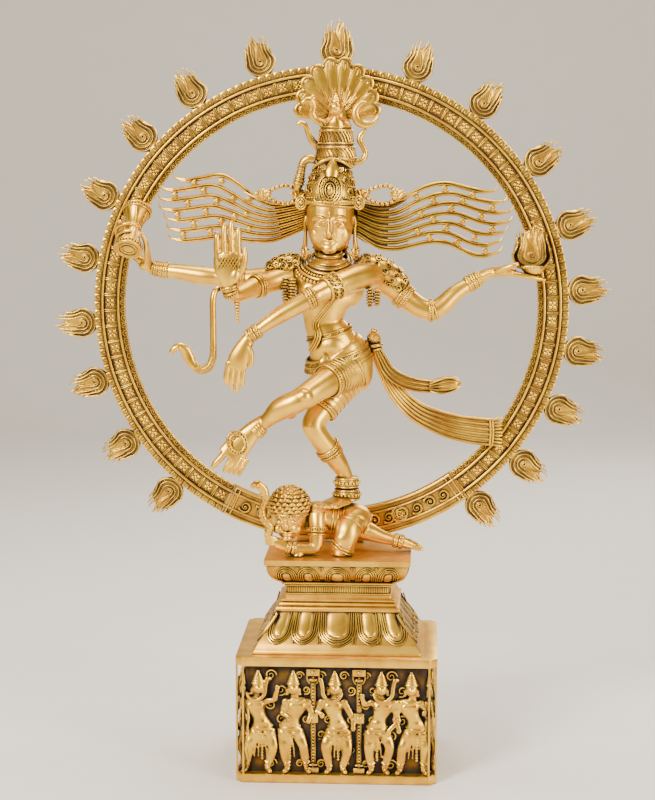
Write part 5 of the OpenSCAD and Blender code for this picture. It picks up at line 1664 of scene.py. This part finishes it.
for size in (1.0, 0.74):
    worn.append(loop_tube([(-102 + size * (10.5 * math.cos(a) - 3.0 * math.sin(a)),
                            -84.4 - 0.6 * (1 - size) * 10 + 0.28 * size * 10.5 * math.cos(a),
                            138 + size * (13 * math.sin(a) + 1.5 * math.cos(a))) for a in angles(32)],
                          1.25))
worn.append(beads([(-102 + 8.9 * math.cos(a) - 2.6 * math.sin(a), -86 + 0.25 * 9 * math.cos(a),
                    138 + 11.2 * math.sin(a) + 1.3 * math.cos(a)) for a in angles(20)], 1.15))
for k in range(11):
    size = 4.3 * (1 - 0.055 * k)
    worn.append(ball(-104 + 0.1 * k, -60.5, 304 - 3.3 * k, size, size, 2.2, segments=12, rings=6))
for k, (x, top) in enumerate(((-123, 363), (-116, 370), (-109, 373), (-102.3, 366))):
    worn.append(loop_tube([(x + 3.7 * math.cos(a), -66.7 + 4.0 * math.sin(a), top - 10)
                           for a in angles(18)], 0.6))
for k in range(6):
    worn.append(wire([(-125 + 3.6 * k, -72.3, 330), (-117 + 3.6 * k, -72.6, 343)], 0.75, 5, 2))
    worn.append(wire([(-117 + 3.6 * k, -72.3, 330), (-125 + 3.6 * k, -72.6, 343)], 0.75, 5, 2))
brazed("bangles_and_anklets", worn)

# %% [markdown]
# The loincloth is thin pleated cloth drawn tight: a skin a little bigger than hip and thigh, with the
# pleats as curved cords laid round it, and a hem band on each leg. The belt above it is two double wires
# with hatching between.

# %% Loincloth and belt
hip_wrap = Limb([[2, -10, 236, 31.5, 24.5], [7, -8, 228, 35, 26.5], [11, -6, 214, 36.5, 26.5],
                 [14, -5, 202, 32, 23], [13, -6, 190, 25, 20]])
thigh_wrap = Limb([[24, -12, 214, 25, 22], [14, -20, 210, 23, 21], [4, -34, 206, 20, 18.6],
                   [-4, -46, 202.5, 18, 16.6]])
low_wrap = Limb([[14, -7, 200, 23, 20], [4, -15, 188, 20.5, 19], [-4, -24, 176, 17.6, 16.6],
                 [-11, -30, 167, 16.2, 15.2]])
flesh("loincloth", [hip_wrap.skin(30), thigh_wrap.skin(28), low_wrap.skin(28)], 0.95, 3)
pleats = []
for wrap, first, last, count in ((thigh_wrap, 0.06, 0.86, 10), (low_wrap, 0.12, 0.82, 7)):
    for k in range(count):
        t = first + (last - first) * k / (count - 1)
        pleats.append(loop_tube(wrap.around(t, 0.3, 36, -5.0 * (1 - t)), 1.05))
for k in range(6):
    pleats.append(loop_tube(hip_wrap.around(0.12 + 0.10 * k, 0.3, 40, 7 - 3.0 * k), 0.95))
for wrap in (thigh_wrap, low_wrap):
    for t, tube in ((0.90, 1.3), (0.985, 1.5)):
        pleats.append(hoop(wrap, t, 0.9, tube))
    pleats.append(beads(spaced(wrap.around(0.94, 1.0, 40), 3.2), 1.3))
brazed("loincloth_pleats", pleats)
belt = []
for at, rx, ry, slope, drop, tube in (((-3.5, -11.6, 256), 24.6, 19.6, 7, 1, 1.4),
                                      ((-2.8, -11.5, 251.5), 25.6, 20.6, 7, 1, 1.4),
                                      ((5, -9, 232), 34.6, 26.6, 10, 5, 1.5),
                                      ((5.6, -8.6, 226), 36.2, 27.6, 10, 6, 1.4),
                                      ((6.2, -8.2, 220), 37.4, 28.2, 10, 7, 1.4)):
    belt.append(loop_tube(ellipse(at, rx, ry, slope, drop), tube))
for low, high, lean in ((((-2.8, -11.5, 251.5), 25.4, 20.4, 7, 1), ((-3.5, -11.6, 256), 24.4, 19.4, 7, 1), 2),
                        (((5.6, -8.6, 226), 36.0, 27.4, 10, 6), ((5, -9, 232), 34.4, 26.4, 10, 5), 2),
                        (((6.2, -8.2, 220), 37.2, 28.0, 10, 7), ((5.6, -8.6, 226), 36.0, 27.4, 10, 6), -2)):
    a, b = ellipse(*low, 64), ellipse(*high, 64)
    for k in range(64):
        belt.append(wire([a[k], b[(k + lean) % 64]], 0.9, 6, 1))
belt.append(loft([[-6, -33, 228, 5, 3], [-8, -35, 222, 6.5, 3.4], [-9, -34, 214, 4, 3],
                  [-9, -33, 208, 1, 1]], 14, 4))
brazed("waist_belt_wires", belt, CARVED, replaces=("waist_belt",))

# %% [markdown]
# Ribbed ribbons, for the sash and the strands: side by side cords that follow one path, with a thin web
# behind. The two ends of the sash fly out at the statue's left; the upper one ends in a tassel bulb, the
# lower one widens to a fringed end.

# %% Sash
def ribbon(rows, cords, thick):
    smooth = curve_through(rows, 4)
    parts = []
    for c in range(cords):
        share = -1 + 2 * c / (cords - 1)
        line = []
        for i, row in enumerate(smooth):
            ahead = smooth[min(i + 1, len(smooth) - 1)][:3] - smooth[max(i - 1, 0)][:3]
            ahead /= np.linalg.norm(ahead)
            side = np.cross(ahead, (0, 1, 0))
            side /= np.linalg.norm(side)
            p = row[:3] + side * share * row[3]
            line.append([p[0], p[1] - 0.8 * (1 - share * share), p[2], thick, max(thick, row[4])])
        parts.append(loft(line, 8, 1))
    parts.append(loft([[*r[:3], r[3], max(1.0, r[4] - thick * 0.6)] for r in rows], 14, 4))
    return parts


upper_end = ribbon([[48, 6, 238, 3, 2.2], [55, 8, 224, 4.5, 2.6], [64, 9, 208, 5.6, 2.8],
                    [78, 9, 197.5, 6.4, 2.8], [95, 10, 192, 6.6, 2.8], [116, 11, 190, 6, 2.6],
                    [128, 12, 191, 5, 2.4]], 4, 1.6)
bulb = Limb([[110, 11, 190, 5.5, 3.6], [120, 12, 190.5, 8.6, 6], [131, 12, 192, 10, 7.4],
             [141, 12, 193, 8.4, 6.6], [147, 12, 193, 3, 3]])
upper_end += [bulb.skin(20)] + [hoop(bulb, t, 0.2, 1.0) for t in (0.05, 0.12)]
upper_end += [wire([(112, 5 - abs(k), 190 + 2.2 * k), (122, 5.4, 190.5 + 3.8 * k),
                    (132, 4.4 + 0.6 * abs(k), 192 + 4.2 * k), (141, 5.6 + 0.5 * abs(k), 193 + 3 * k),
                    (146, 9, 193 + k)], 1.0, 6, 4) for k in (-2, -1, 0, 1, 2)]
brazed("sash_upper_end", upper_end, replaces=("sash_upper",))
lower_end = ribbon([[46, 10, 236, 3.5, 2], [52, 13, 222, 5, 2.4], [61, 16, 202, 6.4, 2.6],
                    [77, 18, 177, 8.4, 2.6], [100, 20, 157, 10.6, 2.6], [134, 22, 143, 13, 2.8],
                    [166, 24, 137, 14.4, 2.8], [186, 24, 135.5, 14.4, 2.6]], 6, 1.9)
for k in range(9):
    z = 135.5 + 14 * (-1 + 2 * k / 8)
    lower_end.append(loft([[184, 24, z, 1.4, 2.0], [190, 24, z + 0.4 * (k - 4), 1.9, 2.2],
                           [195.5, 24, z + 0.7 * (k - 4), 0.7, 0.8]], 8, 3))
for x in (181, 184):
    lower_end.append(wire([(x, 22, 120), (x + 1, 21, 135), (x, 22, 150)], 1.3, 8, 4))
brazed("sash_lower_end", lower_end, replaces=("sash_lower",))
knot_parts = [ball(47, 3, 246, 8, 7.4, 8.2), ball(47, 3, 255, 3.4, 3.2, 3.2)]
knot_parts += [loop_tube([(47 + 8.1 * math.cos(a) * math.cos(tilt), 3 + 7.6 * math.sin(a),
                           246 + 8.1 * math.cos(a) * math.sin(tilt)) for a in angles(30)], 0.8)
               for tilt in (-0.9, -0.3, 0.3, 0.9)]
knot_parts += [loop_tube(ellipse((46.5, 4, 238), 9.5, 8.5, 1.5), 2.0),
               loop_tube(ellipse((47.5, 5, 233.5), 8.5, 7.5, 1.5), 1.5), ball(34, -2, 239, 8, 7, 5)]
brazed("sash_knot_wrap", knot_parts, replaces=("sash_knot",))

# %% [markdown]
# Hair. Seven strands fly out on each side, each a pair of wires that wave, end in a hooked tip and are
# tied to the next by small four-pointed studs. Near the head finer wires fill the gaps. They're drawn as
# wires because that is how the wax is laid: rolled threads pressed on at the root. The back of the head
# is covered by thicker locks, tied at the nape.

# %% Hair
STRANDS = 7
HAIR_FROM, HAIR_SPAN = 28, 158
HAIR_X = (28, 50, 70, 90, 110, 131, 155, 173, 186)
HAIR_TOP = {-1: (402, 399, 397, 405, 420, 431, 428, 425, 427),
            1: (402, 396, 398, 410, 419, 422, 416.5, 413, 413)}
HAIR_LOW = {-1: (374, 364, 357.5, 357, 359, 361, 358, 356.5, 358),
            1: (365, 351, 348, 352, 356, 354, 342, 340, 344)}
HAIR_TIP = {-1: (180, 196, 198, 197, 191, 188, 186), 1: (182, 193, 200, 199, 194, 188, 188)}
HAIR_LINES = {side: np.array(curve_through([[x, a, b, 0, 0]
                                            for x, a, b in zip(HAIR_X, HAIR_TOP[side], HAIR_LOW[side])],
                                           6)) for side in (-1, 1)}


def strand(side, s, t):
    f, lines = s / (STRANDS - 1), HAIR_LINES[side]
    top, low = (np.interp(HAIR_FROM + HAIR_SPAN * t, lines[:, 0], lines[:, k]) for k in (1, 2))
    return (side * (HAIR_FROM + (HAIR_TIP[side][s] - HAIR_FROM) * t), 4 + 17 * t, top * (1 - f) + low * f)


def hair_wing(side):
    parts = []
    for s in range(STRANDS):
        for pair in (-1, 1):
            line = []
            for i in range(33):
                t = i / 32
                x, y, z = strand(side, s, t)
                spread = min(1, 2.6 * t)
                gap = (1.15 + 0.2 * spread) * min(1, (1.02 - t) * 8)
                thick = 1.15 + 0.42 * spread
                line.append([x, y, z + pair * gap, thick * (1 if t < 0.93 else 1.1 - 4.0 * (t - 0.93)),
                             2.2 if t < 0.95 else 1.3])
            hook = line[-1]
            if pair == -1:
                line.append([hook[0] + side * 3.4, hook[1], hook[2] + 3.2, 1.0, 1.1])
                line.append([hook[0] + side * 4.6, hook[1], hook[2] + 7.4, 0.4, 0.5])
            parts.append(loft(line, 7, 1))
        if s < STRANDS - 1:
            for k in (1, 2):
                line = []
                for i in range(12):
                    t = 0.36 * i / 11
                    a, b = strand(side, s, t), strand(side, s + 1, t)
                    m = k / 3
                    line.append([a[0], a[1] + 0.6, a[2] * (1 - m) + b[2] * m, 0.8 if i < 9 else 0.5, 1.2])
                parts.append(loft(line, 6, 1))
            for j in range(3):
                t = 0.42 + 0.2 * j + (0 if s % 2 == 0 else 0.09)
                a, b = Vector(strand(side, s, t)), Vector(strand(side, s + 1, t))
                middle = (a + b) / 2
                wide = min(6.8, (a - b).length * 0.66)
                stud = box_unit(wide, wide, -2.6, 2.6, 0.6)
                stud.data.transform(Matrix.Translation(FIGURE_AT + (middle + Vector((0, -0.6, 0))) * MM)
                                    @ Matrix.Rotation(math.radians(90), 4, "X")
                                    @ Matrix.Rotation(math.radians(45), 4, "Z"))
                parts.append(stud)
                parts.append(ball(middle.x, middle.y - 3.2, middle.z, 1.3, 0.9, 1.3, segments=8, rings=6))
    return parts


roots = []
for side in (-1, 1):
    rows = []
    for t in (-0.06, 0.02, 0.09, 0.16, 0.22):
        a, b = strand(side, 0, max(0, t)), strand(side, STRANDS - 1, max(0, t))
        rows.append([side * (HAIR_FROM + HAIR_SPAN * t), 6.5 + 17 * max(0, t), (a[2] + b[2]) / 2,
                     (a[2] - b[2]) / 2, 0.8])
    roots.append(loft(rows, 20, 4))
brazed("hair_roots", roots, GROUND)

back_hair = []
for k in range(13):
    a = math.radians(-66 + 11 * k)
    c, s = math.cos(a), math.sin(a)
    back_hair.append(wire([(FX + 25.5 * s, -9 + 25.5 * c, 402), (FX + 26 * s, -9 + 27 * c, 386),
                           (FX + 23.5 * s, -8 + 25 * c, 368), (FX + 18.5 * s, -5 + 20 * c, 353),
                           (FX + 17 * s, -3 + 19 * c, 342), (FX + 16 * s, -1 + 18 * c, 334)], 3.0, 8, 4))
for z, r in ((355, 1.6), (350, 1.6)):
    back_hair.append(wire([(FX + 21 * math.sin(math.radians(a)), -5.5 + 23.5 * math.cos(math.radians(a)),
                            z) for a in range(-70, 71, 10)], r, 8, 2))
brazed("back_hair", back_hair, CARVED)
brazed("hair_wing_left", hair_wing(-1), replaces=("hair_left",))
brazed("hair_wing_right", hair_wing(1), replaces=("hair_right",))
garland = []
for side in (-1, 1):
    cx = -3 + side * 56
    loop = [(cx + 17.5 * math.cos(a), 2, 409.5 + 9.5 * math.sin(a) + 2.0 * math.sin(2 * a)) for a in
            angles(40)]
    garland.append(beads(spaced(loop, 5.6), 2.9))
    garland.append(loop_tube(loop, 0.8))
    for end, tilt in ((-1, 0), (1, 1)):
        bx = cx + end * 20
        for k in range(5):
            a = math.radians(150 - 30 * k)
            garland.append(loft([[bx, 2, 403, 1.2, 1.4],
                                 [bx + 7.0 * math.cos(a), 1.5, 406 + 7.6 * math.sin(a), 2.6, 1.7],
                                 [bx + 11.0 * math.cos(a), 1, 405 + 12 * math.sin(a), 1.0, 1.0]], 8, 4))
    garland.append(wire([(-3 + side * 26, 0, 402), (-3 + side * 38, 1, 401), (-3 + side * 56, 2, 398.5),
                         (-3 + side * 80, 4, 404), (-3 + side * 98, 8, 412)], 1.3, 8, 4))
brazed("hair_garlands", garland)

# %% [markdown]
# What the hands hold: the drum, hourglass-shaped with laced sides and tipped toward the front, and the
# bowl of fire, whose tongues are a flame of the ring, narrower and deeper, with a solid heart.

# %% Drum and fire
DRUM_AT = (-229, 6, 370.0)
DRUM_TILT, DRUM_PITCH = math.radians(8), math.radians(40)


def drum_point(x, y, z):
    cos, sin = math.cos(DRUM_PITCH), math.sin(DRUM_PITCH)
    y, z = y * cos + z * sin, z * cos - y * sin
    cos, sin = math.cos(DRUM_TILT), math.sin(DRUM_TILT)
    return (DRUM_AT[0] + x * cos + z * sin, DRUM_AT[1] + y, DRUM_AT[2] - x * sin + z * cos)


drum_body = Limb([[*drum_point(0, 0, z), r, r] for z, r in ((-29.5, 14), (-29, 15.4), (-25, 15.6),
                                                            (-22, 14.2), (-10, 10), (0, 8.6), (10, 10),
                                                            (22, 14.2), (25, 15.6), (29, 15.4),
                                                            (29.5, 14))], 4)
drum_parts = [drum_body.skin(36)]
for z, r, tube in ((-28.6, 15.4, 1.5), (-24.2, 15.6, 1.2), (28.6, 15.4, 1.5), (24.2, 15.6, 1.2),
                   (0, 7.6, 2.2), (3.4, 8, 1.1), (-3.4, 8, 1.1), (30, 11, 0.8), (30, 7, 0.8),
                   (30, 3.4, 0.9), (-30, 11, 0.8), (-30, 7, 0.8)):
    drum_parts.append(loop_tube([drum_point(r * math.cos(a), r * math.sin(a), z) for a in angles(36)], tube))
for z in (26.4, -26.4):
    drum_parts.append(beads([drum_point(15.8 * math.cos(a), 15.8 * math.sin(a), z) for a in angles(28)], 1.3))
for k in range(12):
    a, b = 2 * math.pi * k / 12, 2 * math.pi * (k + 0.5) / 12
    for s in (-1, 1):
        drum_parts.append(wire([drum_point(14.6 * math.cos(a), 14.6 * math.sin(a), 22.5 * s),
                                drum_point(10.6 * math.cos((a + b) / 2), 10.6 * math.sin((a + b) / 2),
                                           12 * s),
                                drum_point(8.2 * math.cos(b), 8.2 * math.sin(b), 2.5 * s)], 0.65, 6, 3))
brazed("drum_casting", drum_parts, replaces=("drum",))

bowl = Limb([[224, 20, 315, 6.5, 6.5], [224, 20, 317.5, 5.4, 5.4], [225, 20, 321, 10, 10],
             [226, 20, 325, 14.5, 13], [226, 20, 327.5, 15.5, 13.6], [226, 20, 328.6, 14, 12]], 4)
heart = loft([[0, 0, 0, 8, 1.6], [0, 8, 0, 14, 2.3], [0, 18, 0, 16, 2.5], [0.5, 28, 0, 14.5, 2.2],
              [1.5, 36, 0, 10, 1.6], [2, 41, 0, 4, 0.8]], 24, 3, UP, ORIGIN)
tongues = cast("tongues", [*flame_shapes((7.8, 12.2, 16.6), (41, 43, 38)), heart], 0.5, 1, 0.5, 0.6)
upright = Matrix(((1.28, 0, 0, 0), (0, 0, -2.9, 0), (0, 1.12, 0, 0), (0, 0, 0, 1)))
tongues.data.transform(Matrix.Translation(FIGURE_AT + Vector((226, 18, 323.5)) * MM) @ upright)
fire = [bowl.skin(30), tongues, hoop(bowl, 0.93, 0.4, 1.2), hoop(bowl, 0.2, 0.6, 1.0)]
fire.append(beads(spaced(bowl.around(0.82, 0.5, 40), 3.2), 1.15))
brazed("fire_bowl_casting", fire, replaces=("fire_bowl",))

# %% [markdown]
# Snakes: one hangs from the raised hand's forearm and rears up, its hood open; one stands by the dwarf.

# %% Snakes
coil = Limb([[-124, -58, 308, 3.4, 3.4], [-128, -62, 304, 3.4, 3.4], [-130, -64, 293, 3.6, 3.6],
             [-130, -64, 272, 3.6, 3.6], [-130, -64, 240, 3.8, 3.8], [-131, -64, 229, 4.1, 4.1],
             [-136, -64, 219.5, 4.5, 4.5], [-145, -64, 217, 4.7, 4.6], [-153, -64, 223, 5.2, 4.4],
             [-158, -64, 232, 6.4, 3.8], [-162, -64.5, 240, 5.6, 3.8], [-168, -65.5, 243.5, 4.2, 3.8],
             [-174, -66.5, 240, 3.6, 3.2], [-178, -67, 235.5, 1.8, 1.8]])
snake_parts = [cast("coil", [coil.skin(18), ball(-169, -66, 242.4, 5.2, 4.2, 4.0, 20)], 0.6, 2)]
snake_parts += [hoop(coil, 0.30 + 0.016 * k, 0.1, 0.45) for k in range(18)]
snake_parts += [beads([(-170.5, -69.4, 244), (-167, -62, 244.5)], 0.9)]
for side in (-1, 1):
    snake_parts.append(wire([(-130, -64 + side * 3.4, 262), (-130, -64 + side * 3.6, 250),
                             (-131.5, -64 + side * 4, 232)], 0.5, 5, 3))
brazed("arm_snake_casting", snake_parts, replaces=("arm_snake",))
low_snake = Limb([[-70, -43, 18, 4.4, 4.4], [-71, -45, 28, 4.5, 4.5], [-69, -46, 36, 4.5, 4.5],
                  [-76, -46, 45, 4.2, 4.2], [-78, -46, 56, 3.8, 3.8], [-74, -46, 69, 4.4, 3.6],
                  [-77, -47, 79, 5.6, 3.2], [-83, -49, 85, 4.6, 3.4], [-90, -51, 82, 2.2, 2.2]])
snake_parts = [low_snake.skin(18), ball(-84, -49.5, 84, 4.6, 3.8, 3.6, 25)]
snake_parts += [hoop(low_snake, 0.1 + 0.05 * k, 0.1, 0.5) for k in range(13)]
brazed("dwarf_snake_casting", snake_parts, replaces=("dwarf_snake",))

# %% [markdown]
# The dwarf lies under the standing foot, its head to the left, propped on its forearm, with curled hair,
# a headband, a belt and bangles. Its face is a general one too.

# %% Dwarf
dwarf_trunk = Limb([[-32, -14, 44, 11, 13], [-20, -12, 43, 16, 18], [-4, -11, 41, 16.5, 19],
                    [14, -9, 39, 18.5, 21.5], [30, -7, 35, 19, 21], [40, -6, 30, 12, 14]])
dwarf_parts = [dwarf_trunk.skin(26)]
knee = Limb([[24, -22, 40, 15, 12.5], [19, -32, 29, 14.6, 11.5], [16, -35, 17, 13, 10.4],
             [12, -34, 7, 12.5, 10], [10, -33, 1.5, 11, 9.4]])
shin = Limb([[30, -8, 27, 12.5, 12], [44, -8, 22, 10.6, 10.4], [56, -8, 17.5, 8.2, 8.2],
             [70, -6.5, 13.5, 6.4, 6.6], [77, -6.5, 12, 6.2, 7], [86, -7, 9.5, 5.6, 8.4],
             [95, -7.5, 7, 4.6, 9.2], [100, -7.5, 5.6, 3.4, 8.4]])
arm = Limb([[-17, -24, 47, 11, 10], [-16, -29, 34, 10, 10], [-16, -32, 19, 8.8, 9], [-19, -34, 9.5, 7.8, 8],
            [-34, -37, 8.4, 7, 7], [-47, -40, 10, 6, 6], [-58, -41, 14, 6.6, 5.6], [-70, -42, 19, 5, 4.6]])
dwarf_parts += [knee.skin(22), shin.skin(20), arm.skin(20), ball(14, -39, 20, 10, 7, 10)]
for k in range(4):
    dwarf_parts.append(loft([[-62, -43, 14 + 2.5 * k, 2.4, 2.6], [-69, -46, 15 + 3 * k, 2.2, 2.3],
                             [-75, -47, 17 + 3.2 * k, 1.5, 1.6]], 8, 3))
for k in range(5):
    y = -14.5 + 3.5 * k
    dwarf_parts.append(loft([[96, y, 5.4, 2.6, 2.2], [102, y, 4.6, 2.3, 2.0],
                             [105.5 - 0.5 * k, y, 4, 1.4, 1.4]], 8, 3))
dwarf_parts.append(loft([[-38, -38, 1, 8, 8], [-38, -38, 4, 6.6, 6.6], [-38, -38, 8, 5.8, 5.8]], 18, 3))
skin = cast("dwarf_skin", dwarf_parts, 0.85, 3)
adopt(skin, SKIN, angle=180, replaces=("dwarf_body",))
dwarf_head = [loft([[-49, -25, 20, 9, 9], [-49, -26, 27, 15.5, 15], [-49, -26, 36, 19.5, 18.5],
                    [-48.5, -25, 48, 21, 20], [-48, -24, 60, 20.5, 19.5], [-47, -22, 70, 16, 16],
                    [-46, -20, 76, 8, 8]], 28, 5),
              loft([[-50, -44.5, 41, 2, 2], [-50.4, -47, 35.5, 2.6, 2.8], [-50, -45.4, 32.4, 2.2, 2]], 12,
                   4), wire([(-56, -42.5, 28.8), (-50, -45.2, 28.2), (-44, -42.5, 28.8)], 1.3, 8, 4),
              wire([(-55, -41.6, 26), (-50, -44, 25), (-45, -41.6, 26)], 1.4, 8, 4),
              ball(-50, -40, 21, 5.5, 4.5, 4)]
for s in (-1, 1):
    dwarf_head.append(ball(-50 + 8.0 * s, -42.4, 40, 4.2, 3, 3))
    dwarf_head.append(wire([(-50 + 3 * s, -45.4, 44.4), (-50 + 8 * s, -45.2, 46),
                            (-50 + 13.5 * s, -41.4, 44)], 1.0, 8, 4))
    dwarf_head.append(ball(-50 + 10 * s, -40.5, 32, 6.5, 5, 5.5))
    dwarf_head.append(loft([[-49 + 20.5 * s, -23, 42, 1.8, 3.4], [-49 + 21.4 * s, -24, 35, 2.4, 4],
                            [-49 + 20.6 * s, -25, 28, 2.2, 3]], 10, 4))
flesh("dwarf_head", dwarf_head, 0.6, 2)
dwarf_dress = []
for ring, (z, r) in enumerate(((51.5, 21.8), (55.6, 22.0), (59.8, 21.6), (64, 20.2), (68, 17.8),
                               (71.6, 14.4), (74.6, 10.2), (76.6, 5.4))):
    waves = max(6, int(r * 0.75))
    line = []
    for k in range(waves * 8):
        a = 2 * math.pi * k / (waves * 8)
        swell = 1.3 * math.sin(waves * a + 2.2 * ring)
        line.append((-48 + (r + 0.7 * swell) * math.cos(a), -23.5 + 0.95 * (r + 0.7 * swell) * math.sin(a),
                     z + swell))
    dwarf_dress.append(loop_tube(line, 2.35))
for z, r in ((47, 22), (42.5, 21.6), (38, 20.8), (33.5, 19.4)):
    line = [(-48 + (r + 0.8 * math.sin(9 * a + z)) * math.cos(a),
             -23.5 + 0.95 * (r + 0.8 * math.sin(9 * a + z)) * math.sin(a), z + 1.2 * math.sin(9 * a + z))
            for a in [math.pi * (k - 2) / 44 for k in range(49)]]
    dwarf_dress.append(wire(line, 2.5, 7, 1))
for z, tube in ((49.0, 1.4), (46.6, 1.1)):
    dwarf_dress.append(loop_tube(ellipse((-48.5, -24.6, z), 21.6, 20.4, 0, 0.8), tube))
dwarf_dress.append(beads(spaced(ellipse((-48.5, -24.8, 47.8), 22.4, 21.2, 0, 0.8), 3.2), 1.2))
for t, tube in ((0.44, 1.5), (0.50, 1.2), (0.56, 1.5), (0.98, 1.3)):
    dwarf_dress.append(hoop(dwarf_trunk, t, 0.3, tube))
for t in (0.12, 0.62, 0.70):
    dwarf_dress.append(hoop(knee, t, 0.25, 1.3, 2))
dwarf_dress += stack(shin, 0.56, 9, 4, 1.5) + stack(arm, 0.20, 7, 3, 1.4) + stack(arm, 0.70, 9, 4, 1.4)
brazed("dwarf_hair_and_dress", dwarf_dress)

# %% [markdown]
# What is left of the solid model gets its material.

# %% Finish
for name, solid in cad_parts.items():
    if name in FASTENERS:
        continue
    solid.data.materials.clear()
    solid.data.materials.append({"seat_plate": PLAIN, "ring_foot_left": AGED,
                                 "ring_foot_right": AGED}.get(name, BRASS))
